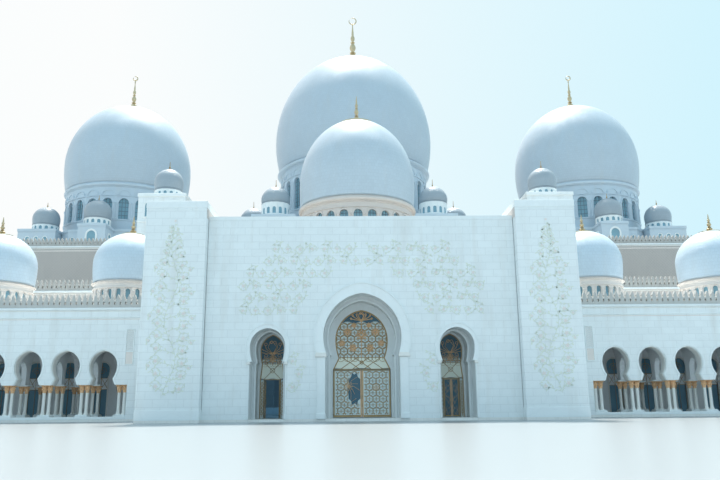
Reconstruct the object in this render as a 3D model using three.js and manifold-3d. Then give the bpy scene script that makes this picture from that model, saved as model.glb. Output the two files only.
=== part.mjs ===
// Mosque building, a 1:10 scale model in millimetres. +Z is up and the front faces -Y.
// The origin lies on the ground, under the middle of the building. Left and right are the
// viewer's, looking at the front.

import * as THREE from 'three';
import { mergeVertices } from 'three/addons/utils/BufferGeometryUtils.js';
import Module from 'manifold-3d';

const wasm = await Module();
wasm.setup();

// Driving dimensions of the plan
const pylonProjection = 110;
const pylonDepth = 910;
const portalToHall = 3680;
const hallDepth = 7900;
const hallHalfWidth = 6750;
const portalHalfWidth = 2050;
const pylonWidth = 580;
const portalThickness = 540;
const reveal = 450;
const arcadeSetback = 740;
const arcadeDepth = 1540;
const wingHalfWidth = 4895;
const wallThickness = 100;
const roofThickness = 60;
const parapetThickness = 40;

// Driving heights
const floorTop = 25;
const pylonTop = 2060;
const portalTop = 1932;
const vestibuleRoofTop = 1850;
const arcadeTop = 1155;
const arcadeRoofTop = 1080;
const arcadeParapetTop = 1295;
const aisleTop = 1583;
const aisleRoofTop = 1500;
const aisleParapetTop = 1725;
const hallTop = 2480;
const hallRoofTop = 2400;
const hallParapetTop = 2600;
const turretTop = 3080;

// Arches: half widths from the axis, and the heights where the outline has them
const portalArchSteps = 8;
const arcadeArchSteps = 6;
const centreArch = { jamb: 346, jambTop: 622, neck: 346, neckZ: 622, wide: 371, wideZ: 770, apex: 1184 };
const centreInner = { jamb: 287, jambTop: 485, neck: 230, neckZ: 599, wide: 262, wideZ: 777, apex: 1076 };
const sidePortalX = 882;
const sideArch = { jamb: 164, jambTop: 541, neck: 147, neckZ: 544, wide: 170, wideZ: 680, apex: 859 };
const sideInner = { jamb: 121, jambTop: 396, neck: 104, neckZ: 546, wide: 120, wideZ: 676, apex: 835 };
const arcadeArch = { jamb: 125, jambTop: 370, neck: 102, neckZ: 430, wide: 143, wideZ: 555, apex: 715 };
const backArch = { jamb: 83, jambTop: 330, neck: 83, neckZ: 480, wide: 100, wideZ: 575, apex: 655 };
const arcadeBays = 6;
const firstArchX = 2640;
const baySpacing = 380;

// Door leaves
const doorPlane = 484;
const leafThickness = 8;
const leafClearance = 5;
const meetingGap = 2.5;
const pivotRadius = 3;
const pivotSides = 4;
const pivotInset = 4;
const seatGap = 0.3;
const screenThickness = 24;
const centreDoorHead = 485;
const sideDoorHead = 391;
const sideDoorHalfWidth = 80;

// Column clusters of the arcades
const stylobateTop = 50;
const capitalBottom = 290;
const capitalTop = 370;
const capitalHalfWidth = 65;
const shaftRadius = 17;
const shaftSides = 6;
const shaftOffset = 28;
const plinthHeight = 22;
const frontRowDepth = 130;
const innerRowSetback = 1080;
const innerRowDepth = 100;
const capitalInset = 5;

// Domes: radii and heights of each kind, upwards from its drum
const domeSteps = 6;
const domeInsideSteps = 2;
const corniceRounding = 30;
const windowTaper = 0.8;
const mainDome = {
  drumRadius: 1510, wall: 75, base: 3520, cornice: 4730, corniceRadius: 1595, neck: 4860, neckRadius: 1550,
  wide: 5500, radius: 1640, top: 7460, segments: 24,
  windows: 30, windowWidth: 180, sill: 3850, windowTop: 4500,
};
const sideDome = {
  drumRadius: 1170, wall: 70, base: 3360, cornice: 4270, corniceRadius: 1222, neck: 4390, neckRadius: 1203,
  wide: 4930, radius: 1262, top: 6355, segments: 20,
  windows: 24, windowWidth: 180, sill: 3630, windowTop: 4050,
};
const frontDome = {
  drumRadius: 750, wall: 50, base: vestibuleRoofTop, cornice: 2640, corniceRadius: 798,
  neck: 2750, neckRadius: 770,
  wide: 3050, radius: 786, top: 4010, segments: 18,
  windows: 26, windowWidth: 112, sill: 2320, windowTop: 2550,
};
const arcadeDome = {
  drumRadius: 390, wall: 40, base: arcadeRoofTop, cornice: 1470, corniceRadius: 418,
  neck: 1525, neckRadius: 402,
  wide: 1730, radius: 415, top: 2110, segments: 12,
};
const mainFinial = { foot: 220, bulb: 250, skirt: 60, tip: 8374, ringZ: 8474, ringRadius: 78, ringTube: 14 };
const sideFinial = { foot: 270, bulb: 175, skirt: 40, tip: 6990, ringZ: 7092, ringRadius: 50, ringTube: 12 };
const frontFinial = { foot: 250, bulb: 115, skirt: 45, tip: 4412 };
const arcadeFinialTip = 2322;
const finialSides = 6;
const ringSections = 8;
const ringSides = 4;
// Finial above its skirt: radii as shares of its bulb size, heights as shares of the spire's length
const skirtEdge = 14;
const skirtCrown = { radius: 0.35, rise: 22 };
const bulbs = [[0.16, 0.12], [0.36, 0.3], [0.12, 0.46], [0.26, 0.6], [0.08, 0.76], [0.06, 1]];
const spike = [[60, -30], [24, 20], [14, 90]];
const spikeTip = 5;
const sideDomeX = 4730;
const frontDomeSetback = 2690;
const arcadeDomeSetback = 700;

// Podia under the great domes, with their rings of small domes
const mainPodium = {
  apothem: 1860, top: 3520, hole: 1420, ring: 2090,
  bayHalf: 335, bayReach: 2400, cornerHalf: 400, cornerCentre: 1478,
};
const sidePodium = {
  apothem: 1430, top: 3360, hole: 1095, ring: 1610,
  bayHalf: 258, bayReach: 1880, cornerHalf: 355, cornerCentre: 1145,
};
const smallDomes = 8;
const smallDomeSegments = 8;
const smallShoulder = { radius: 0.75, rise: 0.66 };
const smallCrown = 0.07;
const seatOverlap = 5;
const mainSmall = { radius: 272, drum: 258, drumHeight: 240, wideRise: 360, rise: 620, tipRise: 770 };
const sideSmall = { radius: 247, drum: 235, drumHeight: 110, wideRise: 270, rise: 500, tipRise: 600 };
const turretSmall = { radius: 208, drum: 196, drumHeight: 100, wideRise: 250, rise: 460, tipRise: 580 };
const turretInner = 2410;
const turretOuter = 3090;
const turretDepth = 700;
const roundHoleSides = 24;
const hallDoorway = { half: 1200, top: 1600 };

// Places that follow from the plan
const totalDepth = pylonProjection + portalToHall + hallDepth;
const portalY = pylonProjection - totalDepth / 2;
const hallY = portalY + portalToHall;
const backY = hallY + hallDepth;
const domeY = (hallY + backY) / 2;
const arcadeY = portalY + arcadeSetback;
const aisleY = arcadeY + arcadeDepth;
const portalInner = portalHalfWidth - pylonWidth;
const portalBackY = portalY + portalThickness;
const pylonY = portalY - pylonProjection;
const pylonBackY = pylonY + pylonDepth;
const vestibuleInner = portalHalfWidth - wallThickness;
const wingInner = wingHalfWidth - wallThickness;

// Colours and finishes
const marble = () => finish(0xe6ebe8, 0.45, 0);
const paleStone = () => finish(0xdfe3dd, 0.5, 0);
const rosyStone = () => finish(0xd9cbbd, 0.6, 0);
const gold = () => finish(0xc99a3c, 0.3, 1);
const lattice = () => finish(0x9c8a55, 0.35, 0.4);
const floorStone = () => finish(0xe9ece9, 0.25, 0);

function finish(color, roughness, metalness) {
  return new THREE.MeshStandardMaterial({ color, roughness, metalness });
}

const building = new THREE.Group();

function addPiece(name, geometry, material, parent = building) {
  const piece = new THREE.Mesh(geometry, material);
  piece.name = name;
  parent.add(piece);
}

// The two limits of a span on one side of the middle, the lower one first
function span(side, near, far) {
  return [side * near, side * far].sort((a, b) => a - b);
}

// Solids, joins and cuts
function toSolid(geometry) {
  const bare = geometry.clone();
  bare.deleteAttribute('normal');
  bare.deleteAttribute('uv');
  const merged = mergeVertices(bare, 1e-3);
  return new wasm.Manifold(new wasm.Mesh({
    numProp: 3,
    vertProperties: new Float32Array(merged.attributes.position.array),
    triVerts: new Uint32Array(merged.index.array),
  }));
}

function toGeometry(solid) {
  const mesh = solid.getMesh();
  const geometry = new THREE.BufferGeometry();
  geometry.setAttribute('position', new THREE.BufferAttribute(mesh.vertProperties, 3));
  geometry.setIndex(new THREE.BufferAttribute(mesh.triVerts, 1));
  geometry.computeVertexNormals();
  return geometry;
}

function join(...geometries) {
  return toGeometry(geometries.map(toSolid).reduce((whole, next) => whole.add(next)));
}

function cut(geometry, ...cutters) {
  const whole = toSolid(geometry);
  return toGeometry(cutters.map(toSolid).reduce((rest, next) => rest.subtract(next), whole));
}

// A box from its limits along X, Y and Z
function box([x0, x1], [y0, y1], [z0, z1]) {
  const geometry = new THREE.BoxGeometry(Math.abs(x1 - x0), y1 - y0, z1 - z0);
  return geometry.translate((x0 + x1) / 2, (y0 + y1) / 2, (z0 + z1) / 2);
}

function extrude(points, depth, holes = []) {
  const shape = new THREE.Shape(points);
  shape.holes = holes.map((hole) => new THREE.Path(hole));
  return new THREE.ExtrudeGeometry(shape, { depth, bevelEnabled: false, curveSegments: 1 });
}

// An upright plate across the building: the outline is drawn in X and Z
function uprightPlate(points, y0, y1) {
  return extrude(points, y1 - y0).rotateX(Math.PI / 2).translate(0, y1, 0);
}

// An upright plate along the building's depth: the outline is drawn in Y and Z
function sidePlate(points, x0, x1) {
  const plate = extrude(points, Math.abs(x1 - x0)).rotateX(Math.PI / 2).rotateZ(Math.PI / 2);
  return plate.translate(Math.min(x0, x1), 0, 0);
}

// A level plate: the outline and its holes are drawn in X and Y
function levelPlate(points, z0, z1, holes = []) {
  return extrude(points, z1 - z0, holes).translate(0, 0, z0);
}

function point(x, y) {
  return new THREE.Vector2(x, y);
}

function rectangle(x0, x1, y0, y1) {
  return [point(x0, y0), point(x1, y0), point(x1, y1), point(x0, y1)];
}

function polygon(centreX, centreY, radius, sides, turn = 0) {
  return Array.from({ length: sides }, (unused, i) => {
    const angle = turn + (2 * Math.PI * i) / sides;
    return point(centreX + radius * Math.cos(angle), centreY + radius * Math.sin(angle));
  });
}

function octagon(centreX, centreY, apothem) {
  return polygon(centreX, centreY, apothem / Math.cos(Math.PI / 8), 8, Math.PI / 8);
}

// A solid turned about a vertical axis, from a profile of radii and heights
function turned(profile, segments, x = 0, y = 0) {
  const points = profile.map(([radius, height]) => point(radius, height));
  return new THREE.LatheGeometry(points, segments).rotateX(Math.PI / 2).translate(x, y, 0);
}

// Outline of a pointed horseshoe arch, from its left foot over the apex to its right foot
function archOutline(arch, x, foot, steps = portalArchSteps) {
  const rise = arch.apex - arch.wideZ;
  const radius = (arch.wide ** 2 + rise ** 2) / (2 * arch.wide);
  const offset = radius - arch.wide;
  const apexAngle = Math.acos(offset / radius);
  const neckAngle = -Math.acos((arch.neck + offset) / radius);
  const stretch = (arch.wideZ - arch.neckZ) / (radius * Math.sin(-neckAngle));
  const right = [];
  for (let i = 0; i <= steps; i++) {
    const angle = THREE.MathUtils.lerp(apexAngle, neckAngle, i / steps);
    const lift = angle < 0 ? stretch : 1;
    right.push([radius * Math.cos(angle) - offset, arch.wideZ + lift * radius * Math.sin(angle)]);
  }
  if (arch.jambTop < arch.neckZ) right.push([arch.jamb, arch.jambTop]);
  if (foot < arch.jambTop) right.push([arch.jamb, foot]);
  const left = right.slice(1).reverse().map(([half, height]) => [-half, height]);
  return [...left, ...right].map(([half, height]) => point(x + half, height));
}

// A wall across the building with arches that reach down to its foot
function archedWall(x0, x1, foot, top, arches, y0, y1) {
  const openings = arches.flatMap(([arch, x]) => archOutline(arch, x, foot));
  const corners = [point(x1, foot), point(x1, top), point(x0, top)];
  return uprightPlate([point(x0, foot), ...openings, ...corners], y0, y1);
}

// The level slab under the whole building
function floorSlab() {
  const right = [
    [portalInner, portalY], [portalInner, pylonY], [portalHalfWidth, pylonY],
    [portalHalfWidth, arcadeY], [wingHalfWidth, arcadeY], [wingHalfWidth, hallY],
    [hallHalfWidth, hallY], [hallHalfWidth, backY],
  ];
  const left = right.map(([x, y]) => [-x, y]).reverse();
  const outline = [...right, ...left].map(([x, y]) => point(x, y));
  addPiece('floor_slab', levelPlate(outline, 0, floorTop), floorStone());
}

// A piece of the portal wall: deep arch in front, narrower lining behind it
function portalWall(name, x0, x1, arch, inner, x) {
  const front = archedWall(x0, x1, floorTop, portalTop, [[arch, x]], portalY, portalY + reveal + 1);
  const lining = archedWall(x0, x1, floorTop, portalTop, [[inner, x]], portalY + reveal, portalBackY);
  addPiece(name, join(front, lining), marble());
}

function portalWalls() {
  const split = (centreArch.wide + sidePortalX - sideArch.wide) / 2;
  portalWall('portal_wall_centre', -split, split, centreArch, centreInner, 0);
  portalWall('portal_wall_left', -portalInner, -split, sideArch, sideInner, -sidePortalX);
  portalWall('portal_wall_right', split, portalInner, sideArch, sideInner, sidePortalX);
  for (const [side, word] of [[-1, 'left'], [1, 'right']]) {
    const tower = box(span(side, portalInner, portalHalfWidth), [pylonY, pylonBackY], [floorTop, pylonTop]);
    addPiece(`pylon_${word}`, tower, marble());
  }
}

// The fixed screen of a portal, shrunk a little so that it sits inside the lining
function screen(name, inner, x, doorHead, doorHalfWidth) {
  const seat = {
    ...inner, jamb: inner.jamb - seatGap, neck: inner.neck - seatGap, wide: inner.wide - seatGap,
    apex: inner.apex - seatGap,
  };
  const outline = archOutline(seat, x, doorHalfWidth ? floorTop : doorHead);
  if (doorHalfWidth) {
    outline.push(point(x + doorHalfWidth, floorTop), point(x + doorHalfWidth, doorHead));
    outline.push(point(x - doorHalfWidth, doorHead), point(x - doorHalfWidth, floorTop));
  }
  const y0 = portalY + doorPlane - screenThickness / 2;
  addPiece(name, uprightPlate(outline, y0, y0 + screenThickness), lattice());
}

// A door leaf on two pivots: side -1 hangs on the left jamb and +1 on the right one
function doorLeaf(name, x, side, halfWidth, head, restAngle) {
  const pivotX = halfWidth - leafClearance - pivotInset;
  const hinge = new THREE.Group();
  hinge.position.set(x + side * pivotX, portalY + doorPlane, 0);
  hinge.rotation.z = -side * restAngle;
  const foot = floorTop + leafClearance;
  const top = head - leafClearance;
  const across = span(side, pivotInset, meetingGap - pivotX);
  const panel = box(across, [-leafThickness / 2, leafThickness / 2], [foot, top]);
  const pivots = levelPlate(polygon(0, 0, pivotRadius, pivotSides), floorTop + seatGap, head - seatGap);
  addPiece(name, join(panel, pivots), lattice(), hinge);
  building.add(hinge);
}

function screensAndDoors() {
  screen('screen_centre', centreInner, 0, centreDoorHead, 0);
  screen('screen_left', sideInner, -sidePortalX, sideDoorHead, sideDoorHalfWidth);
  screen('screen_right', sideInner, sidePortalX, sideDoorHead, sideDoorHalfWidth);
  for (const [side, word] of [[-1, 'left'], [1, 'right']]) {
    doorLeaf(`centre_door_leaf_${word}`, 0, side, centreInner.jamb, centreDoorHead, 0);
    doorLeaf(`left_door_leaf_${word}`, -sidePortalX, side, sideDoorHalfWidth, sideDoorHead, Math.PI / 2);
    doorLeaf(`right_door_leaf_${word}`, sidePortalX, side, sideDoorHalfWidth, sideDoorHead, 0);
  }
}

// The hall behind the portal: side walls, and a roof between the pylons that is open under the front dome
function vestibule() {
  for (const [side, word] of [[-1, 'left'], [1, 'right']]) {
    const limits = span(side, vestibuleInner, portalHalfWidth);
    const wall = box(limits, [pylonBackY, hallY], [floorTop, portalTop]);
    addPiece(`vestibule_wall_${word}`, wall, marble());
  }
  const holeRadius = frontDome.drumRadius - frontDome.wall;
  const hole = polygon(0, portalY + frontDomeSetback, holeRadius, frontDome.segments);
  const right = [[portalInner, portalBackY], [portalInner, pylonBackY], [vestibuleInner, pylonBackY],
    [vestibuleInner, hallY]];
  const outline = [...right, ...right.map(([x, y]) => [-x, y]).reverse()].map(([x, y]) => point(x, y));
  const roof = levelPlate(outline, vestibuleRoofTop - roofThickness, vestibuleRoofTop, [hole]);
  addPiece('vestibule_roof', roof, paleStone());
}

// Profile of a dome's outside, from the neck over the widest ring to the crown
function domeCurve(dome, steps, inset = 0) {
  const radius = dome.radius - inset;
  const crown = dome.top - dome.wide - inset;
  const bulge = (dome.neckRadius + 2 * dome.radius) / 3;
  const points = [[dome.neckRadius - inset, dome.neck], [bulge - inset, (dome.neck + dome.wide) / 2]];
  for (let i = 0; i < steps; i++) {
    const angle = (Math.PI / 2) * (i / steps);
    points.push([radius * Math.cos(angle), dome.wide + crown * Math.sin(angle)]);
  }
  points.push([0, dome.wide + crown]);
  return points;
}

// A dome as a shell over its drum, with the rounded cornice that carries it
function domeShell(dome, x, y, foot = dome.cornice) {
  const inside = domeCurve(dome, domeInsideSteps, dome.wall).reverse();
  const outside = domeCurve(dome, domeSteps);
  const bottom = [[dome.drumRadius - dome.wall, foot], [dome.drumRadius, foot]];
  const cornice = [[dome.drumRadius, dome.cornice], [dome.corniceRadius, dome.cornice + corniceRounding],
    [dome.corniceRadius, dome.neck - corniceRounding]];
  const profile = [...inside, ...bottom, ...(foot < dome.cornice ? cornice : cornice.slice(1)), ...outside];
  return turned(profile, dome.segments, x, y);
}

// A drum: a round wall with arched windows cut through it
function drum(dome, x, y) {
  const inner = dome.drumRadius - dome.wall;
  const wall = [[inner, dome.base], [dome.drumRadius, dome.base], [dome.drumRadius, dome.cornice],
    [inner, dome.cornice], [inner, dome.base]];
  const half = dome.windowWidth / 2;
  const outline = [point(-half, dome.sill), point(half, dome.sill),
    point(windowTaper * half, dome.windowTop), point(-windowTaper * half, dome.windowTop)];
  const cutters = Array.from({ length: dome.windows }, (unused, i) => {
    const cutter = uprightPlate(outline, inner - dome.wall, dome.drumRadius + dome.wall);
    return cutter.rotateZ(Math.PI + (2 * Math.PI * i) / dome.windows).translate(x, y, 0);
  });
  const faceTurn = Math.PI / dome.windows;
  const shell = turned(wall, dome.windows).rotateZ(faceTurn).translate(x, y, 0);
  return cut(shell, ...cutters);
}

// Height of a dome's outside at a radius near its crown
function crownHeight(dome, radius) {
  return dome.wide + (dome.top - dome.wide) * Math.sqrt(1 - (radius / dome.radius) ** 2);
}

// A finial: a skirt lying on the crown, and bulbs on a spire
function finial(dome, size, x, y) {
  const length = size.tip - dome.top;
  const edge = crownHeight(dome, size.foot);
  const profile = [[0, edge - size.skirt], [size.foot, edge - size.skirt], [size.foot, edge + skirtEdge],
    [size.bulb * skirtCrown.radius, dome.top + skirtCrown.rise],
    ...bulbs.map(([share, rise]) => [size.bulb * share, dome.top + length * rise]), [0, size.tip]];
  const crown = turned([[0, dome.neck], ...domeCurve(dome, domeSteps, -seatGap)], dome.segments, x, y);
  return cut(turned(profile, finialSides, x, y), crown);
}

function frontDomeGroup() {
  const y = portalY + frontDomeSetback;
  addPiece('front_drum', drum(frontDome, 0, y), rosyStone());
  addPiece('front_dome', domeShell(frontDome, 0, y), marble());
  addPiece('front_finial', finial(frontDome, frontFinial, 0, y), gold());
}

// One bay's support: plinth, twin slender shafts and a shared capital
function columnCluster(x, y0) {
  const across = [x - capitalHalfWidth, x + capitalHalfWidth];
  const along = [y0 + capitalInset, y0 + frontRowDepth - capitalInset];
  const pieces = [box(across, along, [stylobateTop - 1, stylobateTop + plinthHeight])];
  pieces.push(box(across, along, [capitalBottom, capitalTop]));
  const middle = (along[0] + along[1]) / 2;
  for (const dx of [-shaftOffset, shaftOffset]) {
    const outline = polygon(x + dx, middle, shaftRadius, shaftSides, Math.PI / shaftSides);
    pieces.push(levelPlate(outline, stylobateTop + plinthHeight - 1, capitalBottom + 1));
  }
  return pieces;
}

// A plain strip on top of a wall, as high as its row of merlons
function parapetAcross(x0, x1, y0, z0, z1) {
  return box(span(1, x0, x1), [y0, y0 + parapetThickness], [z0 - 1, z1]);
}

// One wing: the open arcade in front and the higher aisle behind it
function wing(side, word) {
  const archXs = Array.from({ length: arcadeBays }, (unused, i) => firstArchX + i * baySpacing);
  const clusterXs = [...archXs, firstArchX + arcadeBays * baySpacing].map((x) => x - baySpacing / 2);
  const firstSolid = side * (clusterXs[0] - capitalHalfWidth);
  const openings = (arch, foot) => archXs.flatMap((x) => {
    const outline = archOutline(arch, side * x, foot, arcadeArchSteps);
    return side > 0 ? outline : outline.reverse();
  });
  const outline = [point(side * portalHalfWidth, floorTop), point(firstSolid, floorTop),
    point(firstSolid, capitalTop), ...openings(arcadeArch, capitalTop), point(side * wingInner, capitalTop),
    point(side * wingInner, arcadeTop), point(side * portalHalfWidth, arcadeTop)];
  const front = uprightPlate(outline, arcadeY, arcadeY + frontRowDepth);
  const ends = span(side, portalHalfWidth, wingInner);
  const parapet = parapetAcross(...ends, arcadeY, arcadeTop, arcadeParapetTop);
  addPiece(`arcade_wall_${word}`, join(front, parapet), marble());

  const strip = box(span(1, firstSolid, side * wingInner), [arcadeY, arcadeY + frontRowDepth],
    [floorTop, stylobateTop]);
  const clusters = clusterXs.flatMap((x) => columnCluster(side * x, arcadeY));
  addPiece(`arcade_columns_${word}`, join(strip, ...clusters), gold());

  const innerY = arcadeY + innerRowSetback;
  const innerTop = arcadeRoofTop - roofThickness;
  const innerOutline = [point(side * portalHalfWidth, floorTop), ...openings(backArch, floorTop),
    point(side * wingInner, floorTop), point(side * wingInner, innerTop),
    point(side * portalHalfWidth, innerTop)];
  addPiece(`inner_arcade_${word}`, uprightPlate(innerOutline, innerY, innerY + innerRowDepth), paleStone());
  wingShell(side, word);
  wingDomes(side, word);
}

// Closing walls and roofs of a wing
function wingShell(side, word) {
  const ends = span(side, portalHalfWidth, wingInner);
  const aisleWall = box(ends, [aisleY, aisleY + wallThickness], [floorTop, aisleTop]);
  const aisleParapet = parapetAcross(...ends, aisleY, aisleTop, aisleParapetTop);
  addPiece(`aisle_wall_${word}`, join(aisleWall, aisleParapet), rosyStone());

  const endOutline = [point(arcadeY, floorTop), point(hallY, floorTop), point(hallY, aisleTop),
    point(aisleY, aisleTop), point(aisleY, arcadeTop), point(arcadeY, arcadeTop)];
  const endWall = sidePlate(endOutline, side * wingInner, side * wingHalfWidth);
  const outer = span(side, wingHalfWidth - parapetThickness, wingHalfWidth);
  const lowParapet = box(outer, [arcadeY, aisleY + 1], [arcadeTop - 1, arcadeParapetTop]);
  const highParapet = box(outer, [aisleY, hallY], [aisleTop - 1, aisleParapetTop]);
  addPiece(`wing_end_wall_${word}`, join(endWall, lowParapet, highParapet), marble());

  const holes = domeXs().map((x) => polygon(side * x, arcadeY + arcadeDomeSetback,
    arcadeDome.drumRadius - arcadeDome.wall, arcadeDome.segments));
  const arcadeOutline = rectangle(...ends, arcadeY + frontRowDepth, aisleY);
  const arcadeRoof = levelPlate(arcadeOutline, arcadeRoofTop - roofThickness, arcadeRoofTop, holes);
  addPiece(`arcade_roof_${word}`, arcadeRoof, paleStone());
  const aisleOutline = rectangle(...ends, aisleY + wallThickness, hallY);
  const aisleRoof = levelPlate(aisleOutline, aisleRoofTop - roofThickness, aisleRoofTop);
  addPiece(`aisle_roof_${word}`, aisleRoof, paleStone());
}

// The arcade's domes stand over its first and fifth bays
function domeXs() {
  return [firstArchX, firstArchX + 4 * baySpacing];
}

function wingDomes(side, word) {
  const y = arcadeY + arcadeDomeSetback;
  const places = domeXs();
  for (const [x, place] of [[places[0], 'inner'], [places[1], 'outer']]) {
    const shell = domeShell(arcadeDome, side * x, y, arcadeDome.base);
    const profile = [[0, arcadeDome.top + spike[0][1]],
      ...spike.map(([radius, rise]) => [radius, arcadeDome.top + rise]),
      [spikeTip, arcadeFinialTip], [0, arcadeFinialTip]];
    const tip = turned(profile, finialSides, side * x, y);
    addPiece(`${place}_arcade_dome_${word}`, join(shell, tip), marble());
  }
  turret(side, word);
}

// A small closed dome on a low drum, with its spike
function smallDome(size, x, y, z) {
  const shoulder = z + size.wideRise + (size.rise - size.wideRise) * smallShoulder.rise;
  const profile = [[0, z - seatOverlap], [size.drum, z - seatOverlap], [size.drum, z + size.drumHeight],
    [size.radius, z + size.wideRise], [size.radius * smallShoulder.radius, shoulder],
    [size.radius * smallCrown, z + size.rise], [0, z + size.tipRise]];
  return turned(profile, smallDomeSegments, x, y);
}

// The square turret that stands behind each pylon, against the hall
function turret(side, word) {
  const x = (turretInner + turretOuter) / 2;
  const limits = span(side, turretInner, turretOuter);
  const block = box(limits, [hallY - turretDepth, hallY], [aisleRoofTop, turretTop]);
  const cap = smallDome(turretSmall, side * x, hallY - turretDepth / 2, turretTop);
  addPiece(`turret_${word}`, join(block, cap), marble());
}

// The prayer hall: four walls and a roof that is open under the three podia
function prayerHall() {
  const { half, top } = hallDoorway;
  const frontOutline = [point(-hallHalfWidth, floorTop), point(-half, floorTop), point(-half, top),
    point(half, top), point(half, floorTop), point(hallHalfWidth, floorTop),
    point(hallHalfWidth, hallTop), point(-hallHalfWidth, hallTop)];
  const front = uprightPlate(frontOutline, hallY, hallY + wallThickness);
  const ends = [-hallHalfWidth, hallHalfWidth];
  const frontParapet = parapetAcross(...ends, hallY, hallTop, hallParapetTop);
  addPiece('hall_front_wall', join(front, frontParapet), rosyStone());
  const back = box(ends, [backY - wallThickness, backY], [floorTop, hallTop]);
  const backParapet = parapetAcross(...ends, backY - parapetThickness, hallTop, hallParapetTop);
  addPiece('hall_back_wall', join(back, backParapet), rosyStone());
  const depth = [hallY + wallThickness, backY - wallThickness];
  for (const [side, word] of [[-1, 'left'], [1, 'right']]) {
    const limits = span(side, hallHalfWidth - wallThickness, hallHalfWidth);
    const outer = span(side, hallHalfWidth - parapetThickness, hallHalfWidth);
    const wall = box(limits, depth, [floorTop, hallTop]);
    const parapet = box(outer, depth, [hallTop - 1, hallParapetTop]);
    addPiece(`hall_wall_${word}`, join(wall, parapet), rosyStone());
  }
  const outline = rectangle(-hallHalfWidth + wallThickness, hallHalfWidth - wallThickness, ...depth);
  const holes = [[0, mainPodium], [-sideDomeX, sidePodium], [sideDomeX, sidePodium]];
  const roof = levelPlate(outline, hallRoofTop - roofThickness, hallRoofTop,
    holes.map(([x, podium]) => polygon(x, domeY, podium.hole, roundHoleSides)));
  addPiece('hall_roof', roof, paleStone());
}

// A ring of small domes round a great one
function smallDomeRing(podium, size, x) {
  return Array.from({ length: smallDomes }, (unused, i) => {
    const angle = (2 * Math.PI * i) / smallDomes;
    const [dx, dy] = [podium.ring * Math.sin(angle), -podium.ring * Math.cos(angle)];
    return smallDome(size, x + dx, domeY + dy, podium.top);
  });
}

// Hollow under the podium's roof, and the round hole below the dome
function podiumHollow(podium, x) {
  const inside = octagon(x, domeY, podium.apothem - wallThickness);
  const round = polygon(x, domeY, podium.hole, roundHoleSides);
  return [levelPlate(inside, hallRoofTop - 1, podium.top - roofThickness),
    levelPlate(round, podium.top - roofThickness - 1, podium.top + 1)];
}

// A podium: an octagon with a bay on each side and a square block on each diagonal
function podium(name, shape, small, x) {
  const height = [hallRoofTop, shape.top];
  const { bayHalf, bayReach, cornerHalf, cornerCentre } = shape;
  const pieces = [levelPlate(octagon(x, domeY, shape.apothem), ...height),
    box([x - bayHalf, x + bayHalf], [domeY - bayReach, domeY + bayReach], height),
    box([x - bayReach, x + bayReach], [domeY - bayHalf, domeY + bayHalf], height)];
  for (const dx of [-cornerCentre, cornerCentre]) {
    for (const dy of [-cornerCentre, cornerCentre]) {
      const across = [x + dx - cornerHalf, x + dx + cornerHalf];
      pieces.push(box(across, [domeY + dy - cornerHalf, domeY + dy + cornerHalf], height));
    }
  }
  const body = cut(join(...pieces), ...podiumHollow(shape, x));
  addPiece(name, join(body, ...smallDomeRing(shape, small, x)), marble());
}

function podia() {
  podium('main_podium', mainPodium, mainSmall, 0);
  podium('side_podium_left', sidePodium, sideSmall, -sideDomeX);
  podium('side_podium_right', sidePodium, sideSmall, sideDomeX);
}

// A great dome: drum, shell, and a finial that ends in an upright ring
function greatDome(dome, size, x, word) {
  addPiece(`${word}_drum`, drum(dome, x, domeY), paleStone());
  addPiece(`${word}_dome`, domeShell(dome, x, domeY), marble());
  const ring = new THREE.TorusGeometry(size.ringRadius, size.ringTube, ringSides, ringSections);
  ring.rotateX(Math.PI / 2).translate(x, domeY, size.ringZ);
  const stemFoot = size.tip - seatOverlap;
  const stemTop = size.ringZ - size.ringRadius + size.ringTube / 2;
  const stem = turned([[0, stemFoot], [size.ringTube, stemFoot], [size.ringTube, stemTop], [0, stemTop]],
    finialSides, x, domeY);
  addPiece(`${word}_finial`, join(finial(dome, size, x, domeY), stem, ring), gold());
}

floorSlab();
portalWalls();
screensAndDoors();
vestibule();
frontDomeGroup();
wing(-1, 'left');
wing(1, 'right');
prayerHall();
podia();
greatDome(mainDome, mainFinial, 0, 'main');
greatDome(sideDome, sideFinial, -sideDomeX, 'left');
greatDome(sideDome, sideFinial, sideDomeX, 'right');

export default building;
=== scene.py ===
# Looks of the mosque building, a 1:10 scale model, laid out as an add-on and run as a script.

import math

import bmesh
import bpy
from mathutils import Matrix, Vector


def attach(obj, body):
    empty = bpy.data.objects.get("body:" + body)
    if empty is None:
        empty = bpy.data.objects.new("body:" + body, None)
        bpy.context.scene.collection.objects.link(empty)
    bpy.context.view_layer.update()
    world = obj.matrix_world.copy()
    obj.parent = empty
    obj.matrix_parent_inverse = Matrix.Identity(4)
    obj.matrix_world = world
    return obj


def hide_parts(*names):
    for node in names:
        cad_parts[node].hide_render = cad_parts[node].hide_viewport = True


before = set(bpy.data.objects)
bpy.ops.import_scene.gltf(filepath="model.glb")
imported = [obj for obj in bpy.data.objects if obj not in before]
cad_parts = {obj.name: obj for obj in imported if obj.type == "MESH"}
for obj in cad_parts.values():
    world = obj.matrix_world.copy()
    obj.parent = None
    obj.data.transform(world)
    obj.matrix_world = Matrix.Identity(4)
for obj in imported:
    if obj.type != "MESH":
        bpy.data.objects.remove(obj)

bl_info = {
    "name": "Mosque building",
    "version": (1, 0, 0),
    "blender": (4, 5, 0),
    "location": "View3D > Sidebar > Mosque",
    "description": "Dresses the mosque building: walls, arcades, domes, screens, doors and inlay",
    "category": "Object",
}

BODY = "building"
FULL = 2 * math.pi
SIDES = ((-1, "left"), (1, "right"))

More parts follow.
